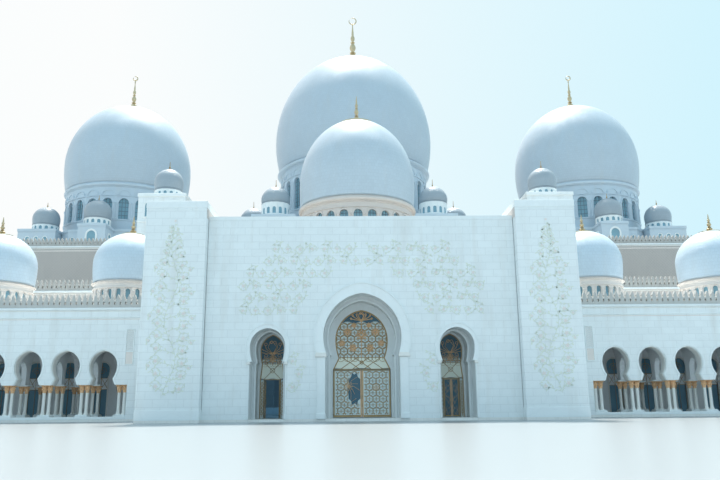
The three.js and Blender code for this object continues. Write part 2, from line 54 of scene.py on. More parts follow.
# Planes and heights of the blocks, and sizes that come back, in metres
PYLON_Y = -5.845
PYLON_BACK_Y = PYLON_Y + 0.91
PORTAL_Y = PYLON_Y + 0.11
REVEAL_Y = PORTAL_Y + 0.45
PORTAL_BACK_Y = PORTAL_Y + 0.54
DOOR_Y = PORTAL_Y + 0.484
ARCADE_Y = -4.995
ARCADE_DEPTH = 0.13
BACK_ROW_Y = ARCADE_Y + 1.08
AISLE_Y = ARCADE_Y + 1.54
HALL_Y = -2.055
BACK_Y = 5.845
DOME_Y = 1.895
PORTAL_HALF = 2.05
PORTAL_INNER = 1.47
WING_INNER = 4.795
WING_HALF = 4.895
HALL_HALF = 6.75
FLOOR = 0.025
PYLON_TOP = 2.06
PORTAL_TOP = 1.932
ARCADE_TOP = 1.155
ARCADE_CREST = 1.295
AISLE_TOP = 1.583
AISLE_CREST = 1.725
HALL_TOP = 2.48
HALL_CREST = 2.6
PARAPET = 0.04
PROUD = 0.0055
SHAFT_RADIUS = 0.017

# Arches: half widths from the axis, and the heights where the outline has them
CENTRE_ARCH = dict(jamb=0.346, jamb_top=0.622, neck=0.346, neck_z=0.622, wide=0.371, wide_z=0.770, apex=1.184)
CENTRE_INNER = dict(jamb=0.287, jamb_top=0.485, neck=0.230, neck_z=0.599, wide=0.262, wide_z=0.777,
                    apex=1.076)
SIDE_ARCH = dict(jamb=0.164, jamb_top=0.541, neck=0.147, neck_z=0.544, wide=0.170, wide_z=0.680, apex=0.859)
SIDE_INNER = dict(jamb=0.121, jamb_top=0.396, neck=0.104, neck_z=0.546, wide=0.120, wide_z=0.676, apex=0.835)
ARCADE_ARCH = dict(jamb=0.125, jamb_top=0.370, neck=0.102, neck_z=0.430, wide=0.143, wide_z=0.555, apex=0.715)
BACK_ARCH = dict(jamb=0.083, jamb_top=0.330, neck=0.083, neck_z=0.480, wide=0.100, wide_z=0.575, apex=0.655)
SIDE_PORTAL_X = 0.882
CENTRE_HEAD = 0.485
SIDE_HEAD = 0.391
SIDE_DOOR_HALF = 0.080
BAYS = [2.64 + 0.38 * i for i in range(6)]
CLUSTERS = [2.64 + 0.38 * (i - 0.5) for i in range(7)]

# Domes: radii and heights upwards from the drum, and the windows of the drum
MAIN = dict(drum=1.510, wall=0.075, base=3.52, cornice=4.73, cornice_r=1.595, neck=4.86, neck_r=1.55,
            wide=5.50, radius=1.64, top=7.46, windows=30, half=0.09, sill=3.85, window_top=4.50)
SIDE = dict(drum=1.170, wall=0.07, base=3.36, cornice=4.27, cornice_r=1.222, neck=4.39, neck_r=1.203,
            wide=4.93, radius=1.262, top=6.355, windows=24, half=0.090, sill=3.63, window_top=4.05)
FRONT = dict(drum=0.750, wall=0.05, base=1.85, cornice=2.64, cornice_r=0.798, neck=2.75, neck_r=0.77,
             wide=3.05, radius=0.786, top=4.01, windows=26, half=0.056, sill=2.32, window_top=2.55)
ARCADE = dict(drum=0.390, wall=0.04, base=1.08, cornice=1.47, cornice_r=0.418, neck=1.525, neck_r=0.402,
              wide=1.73, radius=0.415, top=2.11, windows=24, half=0.024, sill=1.29, window_top=1.41)
FRONT_DOME_Y = PORTAL_Y + 2.69
ARCADE_DOME_Y = ARCADE_Y + 0.70
ARCADE_DOME_XS = (2.64, 4.16)
SIDE_DOME_X = 4.73
MAIN_SMALL = dict(radius=0.272, drum=0.258, drum_height=0.240, wide=0.360, rise=0.620, tip=0.770)
SIDE_SMALL = dict(radius=0.247, drum=0.235, drum_height=0.110, wide=0.270, rise=0.500, tip=0.600)
TURRET_SMALL = dict(radius=0.208, drum=0.196, drum_height=0.100, wide=0.250, rise=0.460, tip=0.580)


class MosqueSizes(bpy.types.PropertyGroup):
    """Sizes that repeat over the whole building"""

    course: bpy.props.FloatProperty(
        name="Course", description="Height of one course of wall slabs", default=0.07, min=0.02, max=0.2,
        subtype="DISTANCE", unit="LENGTH")
    slab: bpy.props.FloatProperty(
        name="Slab", description="Length of one wall slab", default=0.14, min=0.03, max=0.5,
        subtype="DISTANCE", unit="LENGTH")
    joint: bpy.props.FloatProperty(
        name="Joint", description="Width of the joints between slabs", default=0.0022, min=0.0002, max=0.01,
        subtype="DISTANCE", unit="LENGTH")
    merlon: bpy.props.FloatProperty(
        name="Merlon", description="Spacing of the merlons on every parapet", default=0.057, min=0.03,
        max=0.3,
        subtype="DISTANCE", unit="LENGTH")
    stem: bpy.props.FloatProperty(
        name="Stem", description="Thickness of the inlaid vines", default=0.006, min=0.001, max=0.02,
        subtype="DISTANCE", unit="LENGTH")
    bar: bpy.props.FloatProperty(
        name="Bar", description="Thickness of the gilded bars", default=0.006, min=0.001, max=0.02,
        subtype="DISTANCE", unit="LENGTH")


def colour_property(name, description, default):
    return bpy.props.FloatVectorProperty(
        name=name, description=description, default=default, min=0, max=1, size=3, subtype="COLOR")


class MosqueColours(bpy.types.PropertyGroup):
    """Colours of the finishes"""

    marble: colour_property("Marble", "White marble of the walls", (0.87, 0.91, 0.91))
    dome: colour_property("Dome tiles", "Marble tiles of the domes", (0.52, 0.61, 0.68))
    rosy: colour_property("Rosy marble", "Warm marble of drums and high bands", (0.83, 0.76, 0.71))
    cream: colour_property("Cream stone", "Merlons, mouldings and columns", (0.86, 0.85, 0.81))
    # The reveal colour is darker than the wall marble: grey stone, and partly painted shade of the deep
    # arches
    reveal: colour_property("Reveal", "Stone inside the deep arches", (0.77, 0.80, 0.80))
    inside: colour_property("Inside", "Plaster inside the arcades", (0.95, 0.98, 1.0))
    gold: colour_property("Gold", "Gilded metal", (0.76, 0.62, 0.40))
    capital: colour_property("Capital", "Gilded capitals", (1.0, 0.64, 0.36))
    lattice: colour_property("Lattice", "Brown gilt lattice of screens and doors", (0.60, 0.42, 0.22))
    screen: colour_property("Screen", "Pale glass behind the lattice", (0.82, 0.92, 0.92))
    dusk: colour_property("Dark screen", "Dark glass behind the lattice", (0.10, 0.19, 0.25))
    panel: colour_property("Panel", "Pale panels over the doors", (0.96, 0.98, 0.84))
    glass: colour_property("Glass", "Dark window glass", (0.29, 0.50, 0.60))
    leaf: colour_property("Leaf", "Inlaid leaves and stems", (0.78, 0.82, 0.72))
    flower: colour_property("Flower", "Inlaid flowers", (0.84, 0.78, 0.74))
    floor: colour_property("Floor", "Pale studio floor", (0.36, 0.385, 0.395))


# Hand tools: drawing a line of points, and turning it into a solid

def clear_selection():
    if bpy.context.object and bpy.context.object.mode != "OBJECT":
        bpy.ops.object.mode_set(mode="OBJECT")
    bpy.ops.object.select_all(action="DESELECT")


def pick(*pieces):
    clear_selection()
    for piece in pieces:
        piece.select_set(True)
    bpy.context.view_layer.objects.active = pieces[-1]


def edit_all(piece):
    pick(piece)
    bpy.ops.object.mode_set(mode="EDIT")
    bpy.ops.mesh.select_all(action="SELECT")


def leave_edit():
    bpy.ops.object.mode_set(mode="OBJECT")
    return bpy.context.object


def draw(points):
    """Draws a chain of edges through the points, and stays in edit mode with all of it selected."""
    clear_selection()
    bpy.ops.mesh.primitive_plane_add(size=0.01, location=(0, 0, 0))
    edit_all(bpy.context.object)
    bpy.ops.mesh.merge(type="CENTER")
    bpy.ops.transform.translate(value=points[0])
    for start, end in zip(points, points[1:]):
        step = [b - a for a, b in zip(start, end)]
        bpy.ops.mesh.extrude_vertices_move(TRANSFORM_OT_translate={"value": step})
    bpy.ops.mesh.select_all(action="SELECT")


def extruded(points, depth):
    """A solid from a closed outline, pushed along a vector."""
    draw(points)
    bpy.ops.mesh.edge_face_add()
    bpy.ops.mesh.extrude_region_move(TRANSFORM_OT_translate={"value": depth})
    bpy.ops.mesh.select_all(action="SELECT")
    bpy.ops.mesh.normals_make_consistent(inside=False)
    return leave_edit()


def upright(outline, y0, y1):
    """A plate across the building, drawn in X and Z."""
    return extruded([(x, y0, z) for x, z in outline], (0, y1 - y0, 0))


def sideways(outline, x0, x1):
    """A plate along the depth of the building, drawn in Y and Z."""
    return extruded([(x0, y, z) for y, z in outline], (x1 - x0, 0, 0))


def level(outline, z0, z1):
    """A level plate, drawn in X and Y."""
    return extruded([(x, y, z0) for x, y in outline], (0, 0, z1 - z0))


def span(a, b):
    """Two limits in rising order."""
    return min(a, b), max(a, b)


def block(kind, across, along, height, bevel=0.0):
    """A squared stone from its limits along X, Y and Z, with its edges eased."""
    middle = [(low + high) / 2 for low, high in (across, along, height)]
    size = [high - low for low, high in (across, along, height)]
    clear_selection()
    bpy.ops.mesh.primitive_cube_add(size=1, location=middle, scale=size)
    piece = bpy.context.object
    bpy.ops.object.transform_apply(location=True, rotation=True, scale=True)
    if bevel:
        modified(piece, "BEVEL", width=bevel, segments=1, limit_method="ANGLE", angle_limit=math.radians(35))
    return painted(piece, kind)


def modified(piece, kind, **settings):
    """Finishes a piece with a modifier, which is applied."""
    pick(piece)
    bpy.ops.object.modifier_add(type=kind)
    modifier = piece.modifiers[-1]
    for key, value in settings.items():
        setattr(modifier, key, value)
    bpy.ops.object.modifier_apply(modifier=modifier.name)
    return piece


def cut_out(piece, cutter):
    """Cuts one solid out of another and removes the cutter."""
    modified(piece, "BOOLEAN", operation="DIFFERENCE", solver="EXACT", object=cutter)
    discard(cutter)
    return piece


def smooth(piece, angle=32):
    pick(piece)
    bpy.ops.object.shade_smooth_by_angle(angle=math.radians(angle))
    return piece


def turned(profile, steps):
    """A solid turned about the upright axis from radii and heights, then smoothed."""
    draw([(radius, 0, height) for radius, height in profile])
    bpy.ops.mesh.spin(steps=steps, angle=FULL, center=(0, 0, 0), axis=(0, 0, 1), dupli=False)
    bpy.ops.mesh.select_all(action="SELECT")
    bpy.ops.mesh.remove_doubles(threshold=0.00002)
    bpy.ops.mesh.normals_make_consistent(inside=False)
    return smooth(leave_edit())


def ringed(piece, count):
    """Repeats a piece round the upright axis."""
    clear_selection()
    bpy.ops.object.empty_add(location=(0, 0, 0), rotation=(0, 0, FULL / count))
    turner = bpy.context.object
    modified(piece, "ARRAY", use_relative_offset=False, use_object_offset=True, offset_object=turner,
             count=count)
    discard(turner)
    return piece


def moved(piece, x=0.0, y=0.0, z=0.0, turn=0.0, scale=(1, 1, 1)):
    """Puts a piece in its place: its object stays at the origin and its mesh moves."""
    pick(piece)
    piece.rotation_euler = (0, 0, turn)
    piece.scale = scale
    piece.location = (x, y, z)
    bpy.ops.object.transform_apply(location=True, rotation=True, scale=True)
    if scale[0] * scale[1] * scale[2] < 0:
        edit_all(piece)
        bpy.ops.mesh.flip_normals()
        leave_edit()
    return piece


def copied(piece, **place):
    """A copy with its own mesh, put in its own place."""
    pick(piece)
    bpy.ops.object.duplicate(linked=False)
    return moved(bpy.context.object, **place)


def joined(pieces):
    pick(*pieces)
    bpy.ops.object.join()
    return bpy.context.object


def discard(*pieces):
    for piece in pieces:
        bpy.data.objects.remove(piece)


def painted(piece, kind):
    piece.data.materials.clear()
    piece.data.materials.append(FINISHES[kind])
    return piece


def finished(piece, name, slot, *nodes, body=BODY):
    """Hands a piece over: its name, the body it rides on, and the nodes that it stands for. The slot argument
    is not used.
    """
    piece.name = piece.data.name = name
    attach(piece, body)
    if nodes:
        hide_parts(*nodes)


# Outlines that come back over the whole building

def arch_side(arch, steps, grow):
    """Right half of a pointed horseshoe arch, from the apex down to the neck."""
    wide, apex = arch["wide"] + grow, arch["apex"] + grow * 1.15
    rise = apex - arch["wide_z"]
    radius = (wide ** 2 + rise ** 2) / (2 * wide)
    offset = radius - wide
    apex_angle = math.acos(offset / radius)
    neck = arch["neck"] + grow
    neck_angle = -math.acos(min(1.0, (neck + offset) / radius))
    drop = arch["wide_z"] - arch["neck_z"]
    stretch = drop / max(1e-6, radius * math.sin(-neck_angle))
    side = []
    for i in range(steps + 1):
        angle = apex_angle + (neck_angle - apex_angle) * i / steps
        lift = stretch if angle < 0 else 1
        side.append((radius * math.cos(angle) - offset, arch["wide_z"] + lift * radius * math.sin(angle)))
    return side


def arch_outline(arch, x, foot, steps, grow=0.0):
    """A horseshoe arch from its left foot over the apex to its right foot."""
    right = arch_side(arch, steps, grow)
    if arch["jamb_top"] < arch["neck_z"]:
        right.append((arch["jamb"] + grow, arch["jamb_top"]))
    if foot < arch["jamb_top"]:
        right.append((arch["jamb"] + grow, foot))
    left = [(-half, height) for half, height in reversed(right[1:])]
    return [(x + half, height) for half, height in left + right]


def round_arch(x, half, foot, spring, rise, steps):
    """A plain round or pointed arch from foot to foot."""
    points = [(x - half, foot)]
    for i in range(steps + 1):
        angle = math.pi * (1 - i / steps)
        points.append((x + half * math.cos(angle), spring + rise * math.sin(angle)))
    return points + [(x + half, foot)]


def arch_band(kind, arch, x, foot, inner, outer, y0, y1, steps):
    """A moulding that follows an arch, between two distances from its edge."""
    inside = arch_outline(arch, x, foot, steps, inner)
    outside = arch_outline(arch, x, foot, steps, outer)
    return painted(upright(inside + outside[::-1], y0, y1), kind)


def rods(lines, radius, kind, sides=4, girth=None):
    """Thin bars that follow chains of points, each closed at its ends. Girth thins a bar along its way."""
    curve = bpy.data.curves.new("rods", "CURVE")
    curve.dimensions = "3D"
    curve.bevel_depth = radius
    curve.bevel_resolution = max(0, sides // 2 - 2)
    curve.use_fill_caps = True
    for line in lines:
        spline = curve.splines.new("POLY")
        spline.points.add(len(line) - 1)
        for i, place in enumerate(line):
            spline.points[i].co = (*place, 1)
            spline.points[i].radius = girth[i] if girth else 1
    piece = bpy.data.objects.new("rods", curve)
    bpy.context.collection.objects.link(piece)
    pick(piece)
    bpy.ops.object.convert(target="MESH")
    return painted(bpy.context.object, kind)


def wall_bars(lines, y, radius, kind):
    """Thin bars drawn in X and Z on an upright plane."""
    return rods([[(x, y, z) for x, z in line] for line in lines], radius, kind)


def stamped(pattern, places, kind):
    """Sets copies of a small pattern on an upright plane: x, y, z, turn in the plane, and size."""
    whole = bmesh.new()
    for x, y, z, turn, size in places:
        before = len(whole.verts)
        whole.from_mesh(pattern.data)
        whole.verts.ensure_lookup_table()
        place = Matrix.Translation((x, y, z)) @ Matrix.Rotation(-turn, 4, "Y")
        place = place @ Matrix.Diagonal((size, 1, size, 1))
        bmesh.ops.transform(whole, matrix=place, verts=whole.verts[before:])
    mesh = bpy.data.meshes.new("stamped")
    whole.to_mesh(mesh)
    whole.free()
    piece = bpy.data.objects.new("stamped", mesh)
    bpy.context.collection.objects.link(piece)
    return painted(piece, kind)


def arc(x, z, radius, start, end, steps):
    """Points of a round arc in X and Z, with angles in degrees."""
    angles = [math.radians(start + (end - start) * i / steps) for i in range(steps + 1)]
    return [(x + radius * math.cos(angle), z + radius * math.sin(angle)) for angle in angles]


def scroll(x, z, radius, start, turns, steps, shrink=0.25):
    """A spiral in X and Z that winds into its middle. Negative turns wind clockwise."""
    points = []
    for i in range(steps + 1):
        t = i / steps
        reach = radius * (1 - (1 - shrink) * t)
        angle = math.radians(start) + turns * FULL * t
        points.append((x + reach * math.cos(angle), z + reach * math.sin(angle)))
    return points


def mirrored(lines):
    return lines + [[(-x, z) for x, z in line] for line in lines]


def shifted(lines, dx):
    return [[(x + dx, z) for x, z in line] for line in lines]


def merlon(spacing, height):
    """One step of a parapet: a pointed leaf on a band, with round holes where it meets the next."""
    s, h = spacing / 2, height
    right = [(s, 0), (s, h * 0.20), (s * 0.72, h * 0.25), (s * 0.66, h * 0.33), (s * 0.78, h * 0.41),
             (s, h * 0.44), (s, h * 0.50), (s * 0.66, h * 0.56), (s * 0.50, h * 0.66), (s * 0.56, h * 0.74),
             (s * 0.34, h * 0.84), (s * 0.14, h * 0.94)]
    outline = [(-x, z) for x, z in right] + [(0, h)] + right[::-1]
    unit = upright(outline, 0.0, PARAPET)
    edit_all(unit)
    bpy.ops.mesh.select_all(action="DESELECT")
    leave_edit()
    for face in unit.data.polygons:
        face.select = abs(abs(face.center.x) - s) < 1e-4 and abs(face.normal.x) > 0.9
    bpy.ops.object.mode_set(mode="EDIT")
    bpy.ops.mesh.delete(type="FACE")
    leave_edit()
    return unit


def crest(x0, x1, y, foot, top, kind="crest"):
    """A row of merlons on a wall, with its front on y; their stone is darkened, painted shade."""
    count = max(1, round((x1 - x0) / bpy.context.scene.mosque_sizes.merlon))
    step = (x1 - x0) / count
    row = modified(merlon(step, top - foot), "ARRAY", use_relative_offset=False, use_constant_offset=True,
                   constant_offset_displace=(step, 0, 0), count=count, use_merge_vertices=True,
                   merge_threshold=0.0001)
    return painted(moved(row, x=x0 + step / 2, y=y, z=foot), kind)


# Finishes: small groups that several materials share, and the materials

GROUPS = {}
FINISHES = {}


def link(tree, start, end):
    tree.links.new(start, end)


def feed(tree, value, socket):
    """Links a socket, or sets a number, a colour or a vector."""
    if isinstance(value, bpy.types.NodeSocket):
        link(tree, value, socket)
    elif socket.type == "RGBA":
        socket.default_value = (*value, 1)
    else:
        socket.default_value = value


def add_node(tree, kind, **values):
    made = tree.nodes.new(kind)
    for key, value in values.items():
        if hasattr(made, key):
            setattr(made, key, value)
        else:
            feed(tree, value, made.inputs[key.replace("_", " ").title()])
    return made


def place_group(tree, word, **values):
    """Puts one of the shared groups into a tree, and gives its outputs."""
    made = add_node(tree, "ShaderNodeGroup", node_tree=GROUPS[word])
    for key, value in values.items():
        feed(tree, value, made.inputs[key])
    return made.outputs


def maths(tree, operation, first, second=0.0, clamp=False):
    """One sum: each side is a socket or a number."""
    made = add_node(tree, "ShaderNodeMath", operation=operation, use_clamp=clamp)
    feed(tree, first, made.inputs[0])
    feed(tree, second, made.inputs[1])
    return made.outputs[0]


def mixed(tree, amount, first, second):
    """A mix of two colours by a mask."""
    made = add_node(tree, "ShaderNodeMix", data_type="RGBA")
    for socket, value in ((0, amount), (6, first), (7, second)):
        feed(tree, value, made.inputs[socket])
    return made.outputs[2]


def toned(colour, *shares):
    """A colour times one share, or times a share for each of red, green and blue."""
    return tuple(min(1.0, part * share) for part, share in zip(colour, shares * 3))


def object_place(tree):
    return tree.nodes.new("ShaderNodeTexCoord").outputs["Object"]


def facing(tree):
    """The three parts of the surface's normal."""
    made = add_node(tree, "ShaderNodeSeparateXYZ")
    link(tree, tree.nodes.new("ShaderNodeNewGeometry").outputs["Normal"], made.inputs[0])
    return made.outputs


def new_group(name, takes, gives):
    """An empty shader group. Position is a vector, and every other socket a number."""
    tree = bpy.data.node_groups.new(name, "ShaderNodeTree")
    for way, sockets in (("INPUT", takes), ("OUTPUT", gives)):
        for socket in sockets:
            kind = "NodeSocketVector" if socket == "Position" else "NodeSocketFloat"
            made = tree.interface.new_socket(name=socket, in_out=way, socket_type=kind)
            if way == "INPUT" and takes[socket] is not None:
                made.default_value = takes[socket]
    return tree, tree.nodes.new("NodeGroupInput").outputs, tree.nodes.new("NodeGroupOutput").inputs


def wall_position_group():
    """Lays a flat pattern on walls and floors: along the wall and up it, or across the floor."""
    tree, _, out = new_group("Wall position", {}, ["Position"])
    place = tree.nodes.new("ShaderNodeSeparateXYZ")
    link(tree, object_place(tree), place.inputs[0])
    normal = facing(tree)
    sideways_on = maths(tree, "GREATER_THAN", maths(tree, "ABSOLUTE", normal[0]), 0.75)
    flat = maths(tree, "GREATER_THAN", maths(tree, "ABSOLUTE", normal[2]), 0.75)
    both = tree.nodes.new("ShaderNodeCombineXYZ")
    for i, mask, first in ((0, sideways_on, 0), (1, flat, 2)):
        choice = tree.nodes.new("ShaderNodeMix")
        for socket, value in ((0, mask), (2, place.outputs[first]), (3, place.outputs[1])):
            link(tree, value, choice.inputs[socket])
        link(tree, choice.outputs[0], both.inputs[i])
    link(tree, both.outputs[0], out["Position"])
    return tree


def slab_joints_group():
    """Slabs in courses: the joints between them, and a tone for each slab."""
    tree, given, out = new_group(
        "Slab joints", {"Position": None, "Course": 0.07, "Slab": 0.14, "Joint": 0.002}, ["Joint", "Tone"])
    bricks = add_node(tree, "ShaderNodeTexBrick", color1=(0, 0, 0), color2=(1, 1, 1),
                      mortar=(0.5, 0.5, 0.5), scale=1,
                      mortar_smooth=0.4, vector=given["Position"], row_height=given["Course"],
                      brick_width=given["Slab"], mortar_size=given["Joint"])
    link(tree, bricks.outputs["Fac"], out["Joint"])
    tone = tree.nodes.new("ShaderNodeSeparateColor")
    link(tree, bricks.outputs["Color"], tone.inputs[0])
    link(tree, tone.outputs[0], out["Tone"])
    return tree


def stone_clouds_group():
    """Soft clouds and thin veins of marble."""
    tree, given, out = new_group("Stone clouds", {"Scale": 3.0}, ["Cloud", "Vein"])
    place = object_place(tree)
    cloud = add_node(tree, "ShaderNodeTexNoise", detail=3.0, vector=place, scale=given["Scale"])
    vein = add_node(tree, "ShaderNodeTexNoise", detail=4.0, distortion=1.6, vector=place,
                    scale=maths(tree, "MULTIPLY", given["Scale"], 1.7))
    link(tree, cloud.outputs[0], out["Cloud"])
    ridge = maths(tree, "ABSOLUTE", maths(tree, "SUBTRACT", vein.outputs[0], 0.5))
    link(tree, maths(tree, "SUBTRACT", 1.0, maths(tree, "MULTIPLY", ridge, 26.0), clamp=True), out["Vein"])
    return tree


def weather_group():
    """Dust that lies on ledges and runs a little way down the walls."""
    tree, given, out = new_group("Weather", {"Amount": 0.5}, ["Dust"])
    stretch = add_node(tree, "ShaderNodeMapping", vector=object_place(tree), scale=(9, 9, 1.2))
    streak = add_node(tree, "ShaderNodeTexNoise", scale=1.0, detail=3.0, vector=stretch.outputs[0])
    ledge = maths(tree, "MULTIPLY", facing(tree)[2], 0.35, clamp=True)
    runs = maths(tree, "MULTIPLY", maths(tree, "SUBTRACT", streak.outputs[0], 0.52), 3.0, clamp=True)
    total = maths(tree, "ADD", ledge, runs, clamp=True)
    link(tree, maths(tree, "MULTIPLY", total, given["Amount"]), out["Dust"])
    return tree


def carved_lattice_group():
    """A carved net of crossing diagonal lines."""
    tree, given, out = new_group("Carved lattice", {"Position": None, "Mesh": 0.07, "Line": 0.16}, ["Line"])
    part = tree.nodes.new("ShaderNodeSeparateXYZ")
    link(tree, given["Position"], part.inputs[0])
    masks = []
    for operation in ("ADD", "SUBTRACT"):
        slope = maths(tree, operation, part.outputs[0], part.outputs[1])
        cell = maths(tree, "FRACT", maths(tree, "DIVIDE", slope, given["Mesh"]))
        away = maths(tree, "ABSOLUTE", maths(tree, "SUBTRACT", cell, 0.5))
        masks.append(maths(tree, "LESS_THAN", away, given["Line"]))
    link(tree, maths(tree, "MAXIMUM", *masks), out["Line"])
    return tree


def clouded(name, scale, roughness, uneven):
    """A new material with clouds in it, which make its roughness uneven."""
    material = bpy.data.materials.new(name)
    material.use_nodes = True
    tree = material.node_tree
    shader = tree.nodes["Principled BSDF"].inputs
    clouds = place_group(tree, "clouds", Scale=scale)
    rough = maths(tree, "ADD", roughness, maths(tree, "MULTIPLY", clouds["Cloud"], uneven))
    link(tree, rough, shader["Roughness"])
    return material, tree, shader, clouds


def bumped(tree, height, strength, distance, shader):
    bump = add_node(tree, "ShaderNodeBump", strength=strength, distance=distance)
    link(tree, height, bump.inputs["Height"])
    link(tree, bump.outputs[0], shader["Normal"])


def stone(name, colour, joints=None, roughness=0.38, dust=0.35, lattice=None):
    """Marble or stone: clouds, veins, slabs with joints, and a little dust."""
    material, tree, shader, clouds = clouded(name, 2.5, roughness, 0.18)

    def tinted(amount, share, base, *shares):
        return mixed(tree, maths(tree, "MULTIPLY", amount, share), base, toned(colour, *shares))

    base = mixed(tree, clouds["Cloud"], toned(colour, 1.05), toned(colour, 0.93))
    base = tinted(clouds["Vein"], 0.175, base, 0.84)
    height = maths(tree, "MULTIPLY", clouds["Cloud"], 0.15)
    if joints:
        course, slab, joint, on_tiles = joints
        if on_tiles:
            position = add_node(tree, "ShaderNodeUVMap", uv_map="tiles").outputs[0]
        else:
            position = place_group(tree, "position")[0]
        slabs = place_group(tree, "slabs", Position=position, Course=course, Slab=slab, Joint=joint)
        base = tinted(slabs["Tone"], 0.30, base, 0.88)
        base = tinted(slabs["Joint"], 0.32, base, 0.62)
        height = maths(tree, "SUBTRACT", height, slabs["Joint"])
    if lattice:
        net = place_group(tree, "lattice", Position=place_group(tree, "position")[0], Mesh=lattice)
        base = tinted(net["Line"], 0.3, base, 1.22)
        height = maths(tree, "ADD", height, net["Line"])
    dusty = place_group(tree, "weather", Amount=dust)["Dust"]
    link(tree, mixed(tree, dusty, base, (0.60, 0.56, 0.50)), shader["Base Color"])
    bumped(tree, height, 0.45, 0.002, shader)
    return material


def gilding(name, colour, roughness=0.3, metallic=0.85):
    """Gilded metal, duller where it is rubbed."""
    material, tree, shader, clouds = clouded(name, 14.0, roughness, 0.3)
    link(tree, mixed(tree, clouds["Cloud"], colour, toned(colour, 0.66)), shader["Base Color"])
    shader["Metallic"].default_value = metallic
    bumped(tree, clouds["Cloud"], 0.2, 0.001, shader)
    return material


def pane(name, colour, roughness=0.35, tone=0.8):
    """Glossy glass, uneven like old panes."""
    material, tree, shader, clouds = clouded(name, 6.0, roughness, 0.12)
    link(tree, mixed(tree, clouds["Cloud"], colour, toned(colour, tone)), shader["Base Color"])
    shader["Specular IOR Level"].default_value = 0.3
    return material


def make_finishes(sizes, colours):
    """Makes every material from the sizes and colours of the panel."""
    GROUPS.update(position=wall_position_group(), slabs=slab_joints_group(), clouds=stone_clouds_group(),
                  weather=weather_group(), lattice=carved_lattice_group())
    wall = (sizes.course, sizes.slab, sizes.joint, False)
    tile = (1.0, 1.0, 0.035, True)
    marble, rosy, cream = tuple(colours.marble), tuple(colours.rosy), tuple(colours.cream)
    dome, reveal = tuple(colours.dome), tuple(colours.reveal)
    FINISHES.update(
        wall=stone("White marble slabs", marble, wall),
        plain=stone("White marble, carved", marble, dust=0.2),
        # shaded: the wall marble made darker and bluer, painted shade for the great drums, their cushions and
        # the podia
        shaded=stone("White marble, painted shade", toned(marble, 0.66, 0.74, 0.82), dust=0.2),
        tiles=stone("Dome tiles", dome, tile, 0.3, 0.15),
        small_tiles=stone("Small dome tiles", toned(dome, 0.70), tile, 0.3, 0.15),
        pale_tiles=stone("Arcade dome tiles", toned(dome, 1.20), tile, 0.3, 0.15),
        warm=stone("Rosy marble, turned", rosy, dust=0.25),
        turned_rosy=stone("Rosy marble, front drum", toned(rosy, 0.80), dust=0.25),
        rosy=stone("Rosy marble slabs", toned(rosy, 0.80), wall),
        # The next two: the rosy marble darkened, painted shade on the walls of the prayer hall; the carved
        # lattice lines on it are real
        high=stone("Rosy marble slabs, painted shade", toned(rosy, 0.57), wall),
        carved=stone("Rosy marble, carved lattice, painted shade", toned(rosy, 0.57), lattice=0.046),
        cream=stone("Cream stone", cream, dust=0.3),
        # The next two: the cream stone darkened for the merlons, painted shade; the second darker still, for
        # the aisle and hall walls
        crest=stone("Merlons", toned(cream, 0.62), dust=0.3),
        high_crest=stone("Merlons, deeper painted shade", toned(cream, 0.53), dust=0.3),
        shaft=stone("Column shafts", cream, None, 0.25, 0.1),
        roof=stone("Roof slabs", toned(cream, 0.5), (0.12, 0.12, 0.003, False), 0.6, 0.5),
        ground=stone("Floor slabs", cream, (0.1, 0.1, 0.002, False), 0.2),
        # reveal: darker grey stone, partly painted shade of the deep arches
        reveal=stone("Moulded reveal", reveal, dust=0.2),
        ring=stone("Inner ring", toned(reveal, 1.1), None, 0.5, 0.2),
        inside=stone("Inner plaster", tuple(colours.inside), None, 0.6, 0.15),
        panel=stone("Pale door panels", tuple(colours.panel), None, 0.3, 0.1),
        leaf=stone("Inlaid leaves", tuple(colours.leaf), dust=0.1),
        flower=stone("Inlaid flowers", tuple(colours.flower), dust=0.1),
        gold=gilding("Gilded metal", tuple(colours.gold)),
        capital=gilding("Gilded capitals", tuple(colours.capital), 0.45, 0.0),
        bronze=gilding("Gilded lattice", tuple(colours.lattice), 0.45, 0.3),
        glass=pane("Dark window glass", tuple(colours.glass), 0.12, 0.6),
        frame=pane("Window bars", (0.19, 0.27, 0.32), 0.5, 0.6),
        screen=pane("Screen glass", tuple(colours.screen)),
        dusk=pane("Screen glass, dark", tuple(colours.dusk)),
        gallery=pane("Gallery glass", toned(colours.dusk, 2.0)),
    )


# Domes, drums and finials. Each is made about the upright axis and then put in its place.

def dome_outside(dome):
    """Radii and heights of a dome's outside, from its neck to its crown."""
    points = []
    for t in [i / 6 for i in range(6)]:
        radius = dome["radius"] - (dome["radius"] - dome["neck_r"]) * (1 - t) ** 2
        points.append((radius, dome["neck"] + (dome["wide"] - dome["neck"]) * t))
    crown = dome["top"] - dome["wide"]
    for i in range(26):
        angle = math.pi / 2 * i / 26
        points.append((dome["radius"] * math.cos(angle), dome["wide"] + crown * math.sin(angle)))
    return points + [(0, dome["top"])]


